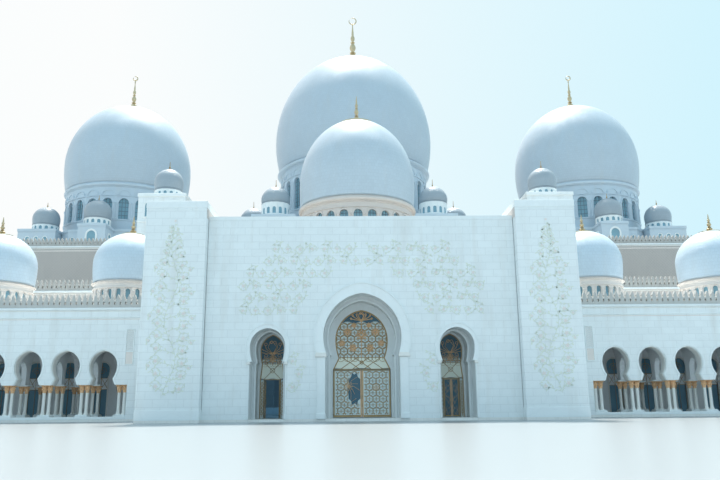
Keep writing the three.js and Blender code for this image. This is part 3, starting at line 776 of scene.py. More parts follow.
def lay_tiles(piece, profile, size):
    """Writes the UV map of the tiles: courses along the profile, and tiles round the axis."""
    reach = [0.0]
    for start, end in zip(profile, profile[1:]):
        reach.append(reach[-1] + math.dist(start, end))
    widest = max(radius for radius, _ in profile)
    mesh = piece.data
    layer = mesh.uv_layers.new(name="tiles")
    courses = {}
    for vertex in mesh.vertices:
        here = (math.hypot(vertex.co.x, vertex.co.y), vertex.co.z)
        nearest = min(range(len(profile)), key=lambda k: math.dist(profile[k], here))
        courses[vertex.index] = reach[nearest] / size
    for face in mesh.polygons:
        middle = math.atan2(face.center.y, face.center.x)
        radius = max(0.01, math.hypot(face.center.x, face.center.y))
        halvings = min(6, int(math.log2(widest / radius))) if radius < widest else 0
        count = max(8, round(FULL * widest / size / 2 ** halvings))
        for corner in face.loop_indices:
            vertex = mesh.vertices[mesh.loops[corner].vertex_index]
            around = middle
            if math.hypot(vertex.co.x, vertex.co.y) > 1e-4:
                turn = math.atan2(vertex.co.y, vertex.co.x) - middle
                around += (turn + math.pi) % FULL - math.pi
            layer.data[corner].uv = (around / FULL * count + 100, courses[vertex.index])


def dome_shell(dome, steps, tile=0.045, kind="tiles"):
    """The dome itself: a tiled shell that springs from a groove over the cushion."""
    outside = dome_outside(dome)
    foot = dome["neck"] - 0.012
    wall = dome["wall"]
    inside = [(0, dome["top"] - wall)]
    for i in range(7, -1, -1):
        angle = math.pi / 2 * i / 8
        inside.append(((dome["radius"] - wall) * math.cos(angle),
                       dome["wide"] + (dome["top"] - dome["wide"] - wall) * math.sin(angle)))
    inside.append((dome["neck_r"] - wall, foot))
    shell = turned(inside + [(dome["neck_r"] - 0.01, foot)] + outside, steps)
    lay_tiles(shell, outside, tile)
    return painted(shell, kind)


def cushion(dome, steps, kind):
    """The rounded cornice between drum and dome, with a groove over it."""
    low, high, out = dome["cornice"], dome["neck"] - 0.012, dome["cornice_r"]
    inner = dome["drum"] - dome["wall"]
    groove = dome["neck_r"] - 0.02
    profile = [(inner, low), (dome["drum"], low), (dome["drum"] + 0.012, low + 0.008),
               (dome["drum"] + 0.012, low + 0.02)]
    for i in range(7):
        angle = -math.pi / 2 + math.pi * i / 6
        middle = (low + high) / 2
        bulge = dome["drum"] + 0.02 + (out - dome["drum"] - 0.02) * math.cos(angle)
        profile.append((bulge, middle + (high - low - 0.04) / 2 * math.sin(angle)))
    profile += [(groove, high - 0.012), (groove, high + 0.001), (inner, high + 0.001), (inner, low)]
    return painted(turned(profile, steps), kind)


def window_bay(dome, head):
    """One bay of a drum: a wall panel with an arched window, its hood and two slim shafts."""
    count, half, sill = dome["windows"], dome["half"], dome["sill"]
    apothem = dome["drum"] * math.cos(math.pi / count)
    reach = apothem * math.tan(math.pi / count)
    back = -apothem + dome["wall"] * 0.8
    spring = dome["window_top"] - half
    hole = round_arch(0, half, sill, spring, half, 8)
    outline = [(-reach, sill)] + hole + [(reach, sill), (reach, head), (-reach, head)]
    wall = upright(outline, -apothem, back)
    proud = min(0.014, half * 0.16)
    hood_out = round_arch(0, half * 1.22, spring, spring, half * 1.3, 8)
    hood_in = round_arch(0, half, spring, spring, half, 8)
    hood = upright(hood_in + hood_out[::-1], -apothem - proud, -apothem + 0.002)
    shaft_r = (reach - half) * 0.32
    shafts = []
    for side in (-1, 1):
        shaft = turned([
            (0, sill), (shaft_r * 1.5, sill), (shaft_r * 1.5, sill + shaft_r),
            (shaft_r, sill + shaft_r * 1.6), (shaft_r, spring - shaft_r * 2),
            (shaft_r * 1.5, spring - shaft_r), (shaft_r * 1.5, spring), (0, spring)], 6)
        shafts.append(moved(shaft, x=side * (half + (reach - half) * 0.5), y=-apothem))
    return joined([hood, *shafts, wall])


def window_panes(dome, bars=True):
    """Dark panes set back in the windows of a drum, with slim glazing bars."""
    count, half, sill, top = dome["windows"], dome["half"], dome["sill"], dome["window_top"]
    apothem = dome["drum"] * math.cos(math.pi / count) - dome["wall"] * 0.55
    pane_face = upright([(-half - 0.01, sill - 0.01), (half + 0.01, sill - 0.01),
                         (half + 0.01, top + 0.01), (-half - 0.01, top + 0.01)],
                        -apothem, -apothem + dome["wall"] * 0.2)
    painted(pane_face, "glass")
    pieces = [ringed(pane_face, count)]
    if bars:
        thick = half * 0.05
        uprights = [block("frame", (x - thick, x + thick), (-apothem - 0.008, -apothem + 0.002), (sill, top))
                    for x in (-half / 3, half / 3)]
        rows = max(3, round((top - sill) / (half * 0.9)))
        levels = [block("frame", (-half, half), (-apothem - 0.007, -apothem + 0.002), (z - thick, z + thick))
                  for z in [sill + (top - sill) * i / rows for i in range(1, rows)]]
        pieces.append(ringed(joined(uprights + levels), count))
    return joined(pieces)


def drum_wall(dome, steps, kind):
    """Foot ring, window bays, and the plain band with its row of blind arches."""
    inner, outer = dome["drum"] - dome["wall"], dome["drum"]
    sill, top = dome["sill"], dome["window_top"]
    head = top + dome["half"] * 0.45
    foot = turned([
        (inner, dome["base"]), (outer + 0.022, dome["base"]), (outer + 0.022, dome["base"] + 0.04),
        (outer + 0.004, dome["base"] + 0.055), (outer + 0.004, sill - 0.03), (outer + 0.018, sill - 0.022),
        (outer + 0.018, sill), (inner, sill), (inner, dome["base"])], steps)
    band = turned([
        (inner, head), (outer + 0.012, head), (outer + 0.012, head + 0.012), (outer, head + 0.02),
        (outer, dome["cornice"]), (inner, dome["cornice"]), (inner, head)], steps)
    bays = ringed(window_bay(dome, head), dome["windows"])
    arches = []
    gap = dome["cornice"] - head - 0.03
    if gap > 0.06:
        step = math.tan(math.pi / dome["windows"]) * dome["drum"]
        half, rise = step * 0.80, gap * 0.66
        low = head + 0.03
        outside = round_arch(0, half, low, low, rise, 8)
        inside = round_arch(0, half * 0.84, low, low, rise * 0.82, 8)
        hood = upright(inside + outside[::-1], -outer - 0.012, -outer + 0.02)
        arches.append(ringed(hood, dome["windows"]))
    return painted(joined([foot, band, *arches, bays]), kind)


def crescent(radius, tube, z):
    """An upright crescent, open towards the upper left and thin at both ends."""
    ring = arc(0, z, radius - tube, 152, 478, 28)
    girth = [0.25 + 0.75 * math.sin(math.pi * i / 28) ** 0.7 for i in range(29)]
    return smooth(rods([[(x, 0, height) for x, height in ring]], tube, "gold", 8, girth), 60)


def crown_height(dome, radius):
    return dome["wide"] + (dome["top"] - dome["wide"]) * math.sqrt(1 - (radius / dome["radius"]) ** 2)


def bulb(low, high, radius, neck):
    """Profile points of one bulb of a finial."""
    return [(neck, low)] + [
        (neck + (radius - neck) * math.sin(math.pi * t), low + (high - low) * t) for t in (0.2, 0.4, 0.6, 0.8)
    ] + [(neck, high)]


def finial(dome, foot, size, tip, steps=20):
    """A gilded cap that lies on the crown, three bulbs and a spire."""
    top, length = dome["top"], tip - dome["top"]
    rim = foot * 0.075
    profile = [(0, crown_height(dome, foot) - 0.02), (foot, crown_height(dome, foot) - 0.006)]
    for i in range(8):
        radius = foot + (size * 0.3 - foot) * i / 7
        profile.append((radius, crown_height(dome, radius) + rim))
    for low, high, reach, neck in ((0.07, 0.22, 0.370, 0.17), (0.24, 0.27, 0.270, 0.15),
                                   (0.29, 0.50, 0.268, 0.12),
                                   (0.52, 0.54, 0.200, 0.11), (0.56, 0.72, 0.184, 0.09)):
        profile += bulb(top + length * low, top + length * high, size * reach, size * neck)
    profile += [(size * 0.10, top + length * 0.76), (size * 0.03, tip), (0, tip)]
    return painted(turned(profile, steps), "gold")


def great_dome(word, dome, x, y, foot, size, tip, ring=None):
    """A great dome from the foot of its drum to the top of its finial."""
    steps = dome["windows"] * 3
    # Drums and cushions of the great domes other than the front one take the darker, bluer marble: painted
    # shade
    kind, drum_slot = ("turned_rosy", "rosy_stone") if word == "front" else ("shaded", "pale_stone")

    def place(piece, part, slot, *nodes):
        finished(moved(piece, x, y), f"{word}_{part}", slot, *nodes)

    place(dome_shell(dome, steps), "dome_tiles", "white_marble", f"{word}_dome")
    place(cushion(dome, steps, kind), "cushion", "pale_stone")
    place(drum_wall(dome, steps, kind), "drum_bays", drum_slot, f"{word}_drum")
    place(window_panes(dome), "drum_panes", "gilt_screen")
    spire = finial(dome, foot, size, tip)
    if ring:
        height, radius = ring
        low = height - radius * 0.9
        stem = painted(turned([(0, tip - 0.01), (0.012, tip - 0.01), (0.012, low), (0, low)], 8), "gold")
        spire = joined([stem, crescent(radius, 0.013, height), spire])
    place(spire, "spire", "gilded", f"{word}_finial")


def small_dome(size):
    """A small dome on a low drum with a ring of dark niches, and a thin gilded spike."""
    steps, holes = 28, 14
    drum_r, high, radius = size["drum"], size["drum_height"], size["radius"]
    half = FULL * drum_r / holes * 0.27
    apothem = drum_r * math.cos(math.pi / holes)
    reach = apothem * math.tan(math.pi / holes)
    low, top = high * 0.25, high * 1.15
    hole = round_arch(0, half, low, low + (top - low) * 0.45, half * 0.95, 6)
    outline = [(-reach, low)] + hole + [(reach, low), (reach, top), (-reach, top)]
    bays = ringed(upright(outline, -apothem - 0.006, -apothem + 0.02), holes)
    foot = turned([(0, -0.004), (drum_r + 0.012, -0.004), (drum_r + 0.012, low * 0.7),
                   (drum_r + 0.002, low), (0, low)], steps)
    profile = [(0, top), (drum_r + 0.008, top), (drum_r + 0.008, top + 0.012), (drum_r - 0.004, top + 0.016),
               (drum_r - 0.004, top + 0.024)]
    outside = [(drum_r + 0.002, top + 0.026)]
    for i in range(1, 4):
        t = i / 4
        outside.append((radius - (radius - drum_r) * (1 - t) ** 2,
                        top + 0.026 + (size["wide"] - top - 0.026) * t))
    for i in range(13):
        angle = math.pi / 2 * i / 13
        outside.append((radius * math.cos(angle),
                        size["wide"] + (size["rise"] - size["wide"]) * math.sin(angle)))
    outside.append((0, size["rise"]))
    cap = turned(profile + outside, steps)
    lay_tiles(cap, outside, 0.04)
    for piece, kind in ((cap, "small_tiles"), (bays, "plain"), (foot, "plain")):
        painted(piece, kind)
    core = [(0, low), (apothem - 0.004, low), (apothem - 0.004, top), (0, top)]
    dark = painted(turned(core, holes * 2), "glass")
    lift, tip = size["rise"], size["tip"]
    spike = painted(turned([
        (0, lift - 0.03), (0.046, lift - 0.016), (0.05, lift - 0.008), (0.016, lift + 0.006),
        (0.008, lift + 0.02), (0.014, lift + 0.034), (0.006, lift + 0.05), (0.004, tip), (0, tip)], 10),
        "bronze")
    return joined([bays, foot, dark, spike, cap])


class MOSQUE_OT_great_domes(bpy.types.Operator):
    """Builds the three great domes on their drums"""

    bl_idname = "mosque.great_domes"
    bl_label = "Great domes"

    def execute(self, context):
        great_dome("main", MAIN, 0, DOME_Y, 0.220, 0.250, 8.374, (8.474, 0.092))
        for side, word in SIDES:
            great_dome(word, SIDE, side * SIDE_DOME_X, DOME_Y, 0.270, 0.175, 6.990, (7.092, 0.061))
        return {"FINISHED"}


class MOSQUE_OT_front_dome(bpy.types.Operator):
    """Builds the dome over the portal block"""

    bl_idname = "mosque.front_dome"
    bl_label = "Front dome"

    def execute(self, context):
        great_dome("front", FRONT, 0, FRONT_DOME_Y, 0.250, 0.115, 4.412)
        return {"FINISHED"}


class MOSQUE_OT_arcade_domes(bpy.types.Operator):
    """Builds the four smaller domes over the arcades"""

    bl_idname = "mosque.arcade_domes"
    bl_label = "Arcade domes"

    def execute(self, context):
        pattern = arcade_dome()
        for side, word in SIDES:
            for x, place in zip(ARCADE_DOME_XS, ("inner", "outer")):
                name = f"{place}_arcade_dome_{word}"
                finished(copied(pattern, x=side * x, y=ARCADE_DOME_Y), f"{name}_tiles", "white_marble", name)
        discard(pattern)
        return {"FINISHED"}


def arcade_dome():
    """One arcade dome with its drum of dark niches and its gilded finial."""
    steps = ARCADE["windows"] * 2
    parts = [dome_shell(ARCADE, steps, 0.038, "pale_tiles"), cushion(ARCADE, steps, "warm"),
             drum_wall(ARCADE, steps, "warm"), window_panes(ARCADE, bars=False),
             finial(ARCADE, 0.130, 0.094, 2.322, 14)]
    return joined(parts)


# The portal block: walls, mouldings, pylons, screens and doors

CENTRE_STEP = dict(jamb=0.318, jamb_top=0.612, neck=0.302, neck_z=0.616, wide=0.334, wide_z=0.772, apex=1.146)
SIDE_STEP = dict(jamb=0.139, jamb_top=0.530, neck=0.124, neck_z=0.546, wide=0.143, wide_z=0.678, apex=0.849)
SPLIT = (CENTRE_ARCH["wide"] + SIDE_PORTAL_X - SIDE_ARCH["wide"]) / 2


def arched_plate(x0, x1, top, arch, x, y0, y1):
    outline = [(x0, FLOOR)] + arch_outline(arch, x, FLOOR, 18) + [(x1, FLOOR), (x1, top), (x0, top)]
    return upright(outline, y0, y1)


def portal_wall(word, x0, x1, x, arch, step, inner):
    """A wall of the portal with its deep stepped arch."""
    name = f"portal_wall_{word}"
    top, middle_y = PORTAL_TOP - 0.03, PORTAL_Y + 0.22
    face = painted(arched_plate(x0, x1, top, arch, x, PORTAL_Y, middle_y), "wall")
    # The middle step and the soffit take the darker reveal stone, partly painted shade of the deep arch
    middle = painted(arched_plate(x0, x1, top, step, x, middle_y, REVEAL_Y), "reveal")
    lining = painted(arched_plate(x0, x1, top, inner, x, REVEAL_Y, PORTAL_BACK_Y), "ring")
    soffit = arch_band("reveal", arch, x, FLOOR, -0.0015, 0.002, PORTAL_Y + 0.012, middle_y + 0.001, 18)
    lip = arch_band("ring", step, x, FLOOR, -0.010, 0.004, middle_y - 0.012, middle_y + 0.005, 18)
    coping = block("plain", (x0, x1), (PORTAL_Y, PORTAL_BACK_Y), (top, PORTAL_TOP))
    finished(joined([middle, lining, soffit, lip, coping, face]), f"{name}_stone", "white_marble", name)


def arch_trim(word, x, arch, wide, proud, ledge):
    """Archivolt, pilaster strips and ledges round one portal arch."""
    foot = arch["neck_z"]
    front, back = PORTAL_Y - proud, PORTAL_Y + 0.01
    parts = [arch_band("plain", arch, x, foot, 0.0, wide, front, back, 22),
             arch_band("plain", arch, x, foot, wide, wide + 0.008, front - proud * 0.8, back, 22),
             arch_band("plain", arch, x, foot, -0.006, 0.004, front - proud * 0.5, back + 0.01, 22)]
    for side in (-1, 1):
        near = x + side * (arch["jamb"] + 0.001)
        far = x + side * (arch["neck"] + wide)
        low, high = span(near, far)
        parts += [
            block("plain", (low, high), (front, back), (FLOOR, foot - ledge), 0.002),
            block("plain", (low - 0.004, high + 0.004), (front - 0.008, back), (FLOOR, FLOOR + 0.05), 0.003),
            block("cream", span(near - side * 0.012, far + side * 0.016), (front - 0.018, back + 0.01),
                  (foot - ledge, foot - ledge * 0.35), 0.003),
            block("cream", span(near - side * 0.006, far + side * 0.008), (front - 0.010, back + 0.01),
                  (foot - ledge * 0.35, foot), 0.002)]
    finished(joined(parts), f"{word}_archivolt", "white_marble")


def pylon(side, word):
    """A plain tower: base course, body and coping, flush with the block's limits, with a thin strip of
    painted shade on its inner side.
    """
    def stones(kind, height, grow):
        across = span(side * (PORTAL_INNER + grow), side * (PORTAL_HALF - grow))
        return block(kind, across, (PYLON_Y + grow, PYLON_BACK_Y), height, 0.002)

    # cheek: a thin strip of darker rosy marble on the tower's inner side above the portal wall, painted shade
    # with a warm painted reflection
    cheek = span(side * (PORTAL_INNER + 0.0005), side * (PORTAL_INNER + 0.01))
    parts = [stones("plain", (FLOOR, 0.115), 0.0), stones("plain", (1.993, PYLON_TOP), 0.0),
             stones("wall", (1.975, 1.985), 0.002), stones("wall", (0.10, 2.0), 0.004),
             block("rosy", cheek, (PYLON_Y + 0.02, PYLON_BACK_Y - 0.01), (1.90, 2.045))]
    finished(joined(parts), f"pylon_{word}_stone", "white_marble", f"pylon_{word}")


class MOSQUE_OT_portal_walls(bpy.types.Operator):
    """Builds the portal wall with its three deep arches, and the two pylons"""

    bl_idname = "mosque.portal_walls"
    bl_label = "Portal walls"

    def execute(self, context):
        portal_wall("centre", -SPLIT, SPLIT, 0, CENTRE_ARCH, CENTRE_STEP, CENTRE_INNER)
        for side, word in SIDES:
            ends = span(side * SPLIT, side * PORTAL_INNER)
            portal_wall(word, *ends, side * SIDE_PORTAL_X, SIDE_ARCH, SIDE_STEP, SIDE_INNER)
        arch_trim("centre", 0, CENTRE_ARCH, 0.079, 0.012, 0.040)
        for side, word in SIDES:
            arch_trim(word, side * SIDE_PORTAL_X, SIDE_ARCH, 0.028, 0.008, 0.026)
        for side, word in SIDES:
            pylon(side, word)
        return {"FINISHED"}


def inside(outline, x, z):
    """Whether a point lies within a closed outline."""
    hit = False
    for (x0, z0), (x1, z1) in zip(outline, outline[1:] + outline[:1]):
        if (z0 > z) != (z1 > z) and x < (x1 - x0) * (z - z0) / (z1 - z0) + x0:
            hit = not hit
    return hit


def clipped(lines, outline, outside=False):
    """The stretches of each chain that lie within an outline, or outside it."""
    kept = []
    for line in lines:
        run = []
        for place in line + [None]:
            if place and inside(outline, *place) != outside:
                run.append(place)
                continue
            if len(run) > 1:
                kept.append(run)
            run = []
    return kept


def ring_net(x0, x1, z0, z1, pitch):
    """Staggered rows of rings that overlap, with a small cross in each."""
    lines = []
    rows, columns = math.ceil((z1 - z0) / (pitch * 0.87)), math.ceil((x1 - x0) / pitch)
    for i in range(rows + 1):
        for j in range(columns + 1):
            x = (x0 + x1) / 2 + (j - columns / 2 + (i % 2) / 2) * pitch
            z = z0 + i * pitch * 0.87
            lines.append(arc(x, z, pitch * 0.58, 0, 360, 12))
            lines.append([(x - pitch * 0.3, z), (x, z), (x + pitch * 0.3, z)])
            lines.append([(x, z - pitch * 0.3), (x, z), (x, z + pitch * 0.3)])
    return lines


def rosette(x, z, radius, petals):
    """A flower of pointed petals round a small ring."""
    lines = [arc(x, z, radius * 0.26, 0, 360, 8)]
    for k in range(petals):
        angle = FULL * k / petals + math.pi / 2
        for sign in (-1, 1):
            swing = angle + sign * math.pi / petals * 0.8
            lines.append([(x + radius * 0.26 * math.cos(angle), z + radius * 0.26 * math.sin(angle)),
                          (x + radius * 0.62 * math.cos(swing), z + radius * 0.62 * math.sin(swing)),
                          (x + radius * math.cos(angle), z + radius * math.sin(angle))])
    return lines


def palmette(x, z, reach):
    """Branches that spread upwards from a foot, each with a curl at its end."""
    lines = [arc(x, z, reach * 0.10, 0, 360, 8)]
    for angle in (12, 34, 56, 78, 90):
        for sign in (-1, 1) if angle < 90 else (1,):
            way = math.radians(angle)
            length = reach * (1.0 if angle < 50 else 0.8)
            tip = (x + sign * length * math.cos(way), z + length * math.sin(way) * 0.8)
            bend = (x + sign * length * 0.55 * math.cos(way * 0.7), z + length * 0.55 * math.sin(way * 0.7))
            lines.append([(x, z), bend, tip])
            lines.append(arc(tip[0] - sign * reach * 0.07, tip[1], reach * 0.07, 0 if sign > 0 else 180,
                             300 if sign > 0 else -120, 7))
    return lines


def panel_lines(half_low, half_high, low, high, crossings):
    """Diagonal bars that cross on the pale panel, and the scalloped edge below it."""
    rise = high - low
    spread = half_low / (len(crossings) + 0.6)
    lines = []
    for x in crossings:
        for sign in (-1, 1):
            lines.append([(x - sign * spread, high), (x + sign * spread * 0.1, (low + high) / 2),
                          (x + sign * spread * 1.15, low - rise * 0.02)])
    lines += [arc(0, high - rise * 0.45, rise * 0.16, 0, 360, 10), [(-half_high, high), (half_high, high)]]
    return [[(min(max(x, -half_low), half_low), z) for x, z in line] for line in lines]


def plate(kind, outline, y, half_depth):
    """An upright plate with its middle on y."""
    return painted(upright(outline, y - half_depth, y + half_depth), kind)


def upper_glass(x, inner, low, dark_from):
    """Pale glass with dark glass over it, which begins with a scalloped edge."""
    outline = arch_outline(inner, x, low, 20, -0.006)
    top = [place for place in outline if place[1] >= dark_from]
    left, right = top[0][0], top[-1][0]
    depth = (inner["apex"] - dark_from) * 0.2
    for u in [i / 24 for i in range(25)]:
        top.append((right + (left - right) * u, dark_from + depth * abs(math.sin(3 * math.pi * u))))
    pale = [place for place in outline if low - 0.001 <= place[1] <= dark_from + 0.03]
    return plate("screen", pale, DOOR_Y, 0.003), plate("dusk", top, DOOR_Y, 0.004), top, outline


def portal_screen(word, x, inner, head, door_half, dark_from, panel_top, slim):
    """A fixed screen: thin border and lattice over glass, a pale panel, and dark glass at the top."""
    frame_y = (DOOR_Y - 0.012, DOOR_Y + 0.012)
    pale, dark, dark_area, outline = upper_glass(x, inner, panel_top, dark_from)
    half_low, half_high = inner["jamb"] - 0.008, inner["neck"] - 0.006
    scallops = []
    for u in [i / 8 - 1 for i in range(17)]:
        scallops.append((x + half_low * u, head + 0.004 + 0.012 * abs(math.cos(u * math.pi))))
    panel = plate("panel", scallops + [(x + half_high, panel_top), (x - half_high, panel_top)], DOOR_Y, 0.006)
    bar = bpy.context.scene.mosque_sizes.bar * (0.38 if slim else 0.56)
    pitch = 0.050 if slim else 0.070
    net = clipped(ring_net(x - inner["wide"], x + inner["wide"], panel_top, inner["apex"], pitch), outline)
    net = clipped(net, dark_area, True)
    hub = dark_from + (inner["apex"] - dark_from) * 0.26
    flowers = palmette(x, hub, (inner["apex"] - dark_from) * (0.72 if slim else 0.82))
    if slim:
        low = panel_top + 0.048
        flowers += rosette(x, low, 0.042, 8) + [[(x, panel_top), (x, low - 0.04)],
                                                [(x, low + 0.04), (x, hub)]]
        flowers += shifted(mirrored([scroll(0.062, low + 0.03, 0.030, 200, 1.2, 12),
                                     scroll(0.066, low - 0.03, 0.022, 160, -1.1, 12)]), x)
    else:
        for dx, z, radius in ((0, 0.83, 0.060), (0.140, 0.86, 0.042), (0.085, 0.70, 0.042),
                              (0.195, 0.745, 0.034), (0.075, 0.925, 0.026)):
            for sign in (-1, 1) if dx else (1,):
                flowers += rosette(x + sign * dx, z, radius, 8)
        flowers += [[(x, panel_top), (x, 0.775)], [(x, 0.89), (x, hub)]]
    crossings = (0,) if slim else (-0.115, 0, 0.115)
    bars = shifted(panel_lines(half_low, half_high, head + 0.012, panel_top, crossings), x)
    near, reach = inner["neck"] - 0.008, door_half or half_low
    parts = [arch_band("bronze", inner, x, FLOOR if door_half else head, -0.009 if slim else -0.012, -0.0005,
                       *frame_y, 20), pale, dark, panel,
             block("screen", (x - near, x + near), (DOOR_Y - 0.0035, DOOR_Y + 0.003),
                   (panel_top - 0.004, panel_top + (0.012 if slim else 0.030))),
             wall_bars(net, DOOR_Y - 0.005, bar, "bronze"),
             wall_bars(flowers, DOOR_Y - 0.007, bar * 1.2, "capital"),
             wall_bars(bars, DOOR_Y - 0.008, bar, "bronze"),
             block("bronze", (x - reach, x + reach), frame_y, (head + 0.001, head + 0.008))]
    if door_half:
        parts += door_sides(x, inner, head, door_half, bar)
    finished(joined(parts), f"screen_{word}_lattice", "gilt_screen", f"screen_{word}")


def door_sides(x, inner, head, door_half, bar):
    """The narrow lights beside a side portal's door."""
    parts = []
    for side in (-1, 1):
        near = x + side * (door_half + 0.0005)
        across = span(near, x + side * (inner["jamb"] - 0.0005))
        middle = sum(across) / 2
        twigs = [[(middle, FLOOR + 0.01), (middle, head - 0.01)]]
        for k in range(9):
            z = FLOOR + 0.03 + k * (head - FLOOR - 0.05) / 9
            for end in (across[0] + 0.006, across[1] - 0.006):
                twigs.append([(middle, z), (end, z + 0.02), (middle, z + 0.036)])
        parts += [block("screen", across, (DOOR_Y - 0.006, DOOR_Y + 0.006), (FLOOR + 0.001, head)),
                  wall_bars(twigs, DOOR_Y - 0.007, bar, "bronze"),
                  block("bronze", span(near, x + side * (door_half + 0.006)),
                        (DOOR_Y - 0.012, DOOR_Y + 0.012), (FLOOR + 0.001, head + 0.01))]
    return parts


class MOSQUE_OT_portal_screens(bpy.types.Operator):
    """Builds the fixed screens of the three portals"""

    bl_idname = "mosque.portal_screens"
    bl_label = "Portal screens"

    def execute(self, context):
        portal_screen("centre", 0, CENTRE_INNER, CENTRE_HEAD, 0, 0.935, 0.605, False)
        for side, word in SIDES:
            portal_screen(word, side * SIDE_PORTAL_X, SIDE_INNER, SIDE_HEAD, SIDE_DOOR_HALF,
                          0.575, 0.548, True)
        return {"FINISHED"}


def star_field(width, low, high):
    """Dark glass near the meeting post, with long gilded leaves that spread from a star."""
    middle, height = width * 0.53, high - low
    star = low + height * 0.66
    edge = []
    for k in range(20):
        angle = FULL * k / 20
        reach = 0.86 if k % 2 else 1.0
        edge.append((width * 0.74 + width * 0.26 * reach * math.cos(angle),
                     star - height * 0.06 + height * 0.36 * reach * math.sin(angle)))
    edge = [(min(x, width - 0.012), min(z, high - 0.012)) for x, z in edge]
    lines = rosette(middle, star, width * 0.17, 8)
    for k in range(12):
        angle = FULL * k / 12 + 0.2
        reach = width * (0.42 if k % 2 else 0.34)
        tip = (middle + reach * math.cos(angle), star + reach * math.sin(angle) * 1.15)
        bend = (middle + reach * 0.5 * math.cos(angle + 0.25),
                star + reach * 0.5 * math.sin(angle + 0.25) * 1.15)
        lines.append([(middle, star), bend, tip])
    for k in range(3):
        z = low + height * (0.10 + 0.09 * k)
        lines.append([(middle - width * 0.25, z + height * 0.10), (middle, z),
                      (middle + width * 0.28, z + height * 0.12)])
    lines = [[(min(x, width - 0.012), min(z, high - 0.012)) for x, z in line] for line in lines]
    return edge, lines


def vine_lines(width, low, high):
    """Curved branches of a narrow leaf."""
    lines = []
    for k in range(3):
        z = low + (high - low) * (0.06 + 0.3 * k)
        lift = (high - low) * 0.3
        swing = width * (0.36 if k % 2 else -0.36)
        lines.append([(width * 0.5 + swing * math.sin(math.pi * i / 5),
                       z + lift * i / 10) for i in range(11)])
        lines.append([(width * 0.5, z), (width * 0.82, z + lift * 0.3), (width * 0.6, z + lift * 0.62)])
        lines.append([(width * 0.5, z + lift * 0.1), (width * 0.18, z + lift * 0.45),
                      (width * 0.42, z + lift * 0.75)])
    return lines


def door_leaf(word, x, side, half, head, rest):
    """A glazed leaf in a thin frame, made closed about its pivot and then turned to rest."""
    name = f"{word}_door_leaf_{'left' if side < 0 else 'right'}"
    broad = half > 0.2
    pivot = half - 0.009
    width = pivot - 0.0025
    low, high = FLOOR + 0.005, head - 0.005
    stile = 0.010 if broad else 0.007
    thick, rail = (-0.004, 0.004), (-0.0038, 0.0038)
    parts = []

    def across(near, far):
        return span(-side * near, -side * far)

    def turned_over(line):
        return [(-side * px, z) for px, z in line]

    def on_both_faces(lines, bar, kind, lift=0.0025):
        for y in (-lift, lift):
            parts.append(wall_bars([turned_over(line) for line in lines], y, bar, kind))

    parts += [block("screen" if broad else "dusk", across(0.004, width - 0.004), (-0.002, 0.002),
                    (low + 0.003, high - 0.003)),
              block("bronze", across(-0.004, stile), thick, (low, high), 0.0012),
              block("capital", across(width - stile * 1.3, width), thick, (low, high), 0.0012),
              block("bronze", across(stile, width - stile), rail, (low, low + stile * 2)),
              block("bronze", across(stile, width - stile), rail, (high - stile * 0.6, high))]
    if broad:
        inner = width - stile
        field = [(stile, low + stile * 2), (inner, low + stile * 2), (inner, high - 0.006),
                 (stile, high - 0.006)]
        net = clipped(ring_net(0, width, low, high, 0.066), field)
        if side < 0:
            edge, rays = star_field(width, low, high)
            net = clipped(net, edge, True)
            parts.append(plate("dusk", turned_over(edge), 0, 0.0028))
            on_both_faces(rays, 0.0016, "capital", 0.003)
        else:
            flower = rosette(width * 0.5, low + (high - low) * 0.62, width * 0.16, 8)
            on_both_faces(flower + [[(width * 0.5, low), (width * 0.5, high)]], 0.0014, "capital")
        on_both_faces(net, 0.0026, "bronze")
    else:
        on_both_faces(vine_lines(width, low, high), 0.0012, "capital")
    grip = low + (high - low) * 0.42
    post = -side * (width - stile * 0.5)
    pull = [(post, -0.004, grip - 0.02), (post, -0.009, grip - 0.014), (post, -0.009, grip + 0.014),
            (post, -0.004, grip + 0.02)]
    foot, top = FLOOR + 0.0005, head - 0.0005
    pivot_pin = turned([(0, foot), (0.0028, foot), (0.0028, top), (0, top)], 10)
    parts += [rods([pull], 0.0014, "gold"), painted(pivot_pin, "bronze")]
    leaf = moved(joined(parts), x=x + side * pivot, y=DOOR_Y, turn=-side * rest)
    finished(leaf, f"{name}_glazed", "gilt_screen", name, body=name)


class MOSQUE_OT_door_leaves(bpy.types.Operator):
    """Builds the six glazed leaves that turn on upright pivots"""

    bl_idname = "mosque.door_leaves"
    bl_label = "Door leaves"

    def execute(self, context):
        for side in (-1, 1):
            door_leaf("centre", 0, side, CENTRE_INNER["jamb"], CENTRE_HEAD, 0)
            door_leaf("left", -SIDE_PORTAL_X, side, SIDE_DOOR_HALF, SIDE_HEAD, math.pi / 2)
            door_leaf("right", SIDE_PORTAL_X, side, SIDE_DOOR_HALF, SIDE_HEAD, 0)
        return {"FINISHED"}


# Wings: the open arcade, the row behind it, the aisle and the closed ends

CAPITAL_LOW, CAPITAL_TOP = 0.290, 0.370
ROW_YS = (ARCADE_Y + 0.065, ARCADE_Y + 0.39, ARCADE_Y + 0.865)
DOME_BAYS = (1, 4, 5)


def courses(across, y, lines):
    """String courses on a wall that faces forwards: heights, how far each stands out, and its finish."""
    return [block(kind, across, (y - proud, y + 0.012), height, min(0.003, proud * 0.4))
            for height, proud, kind in lines]


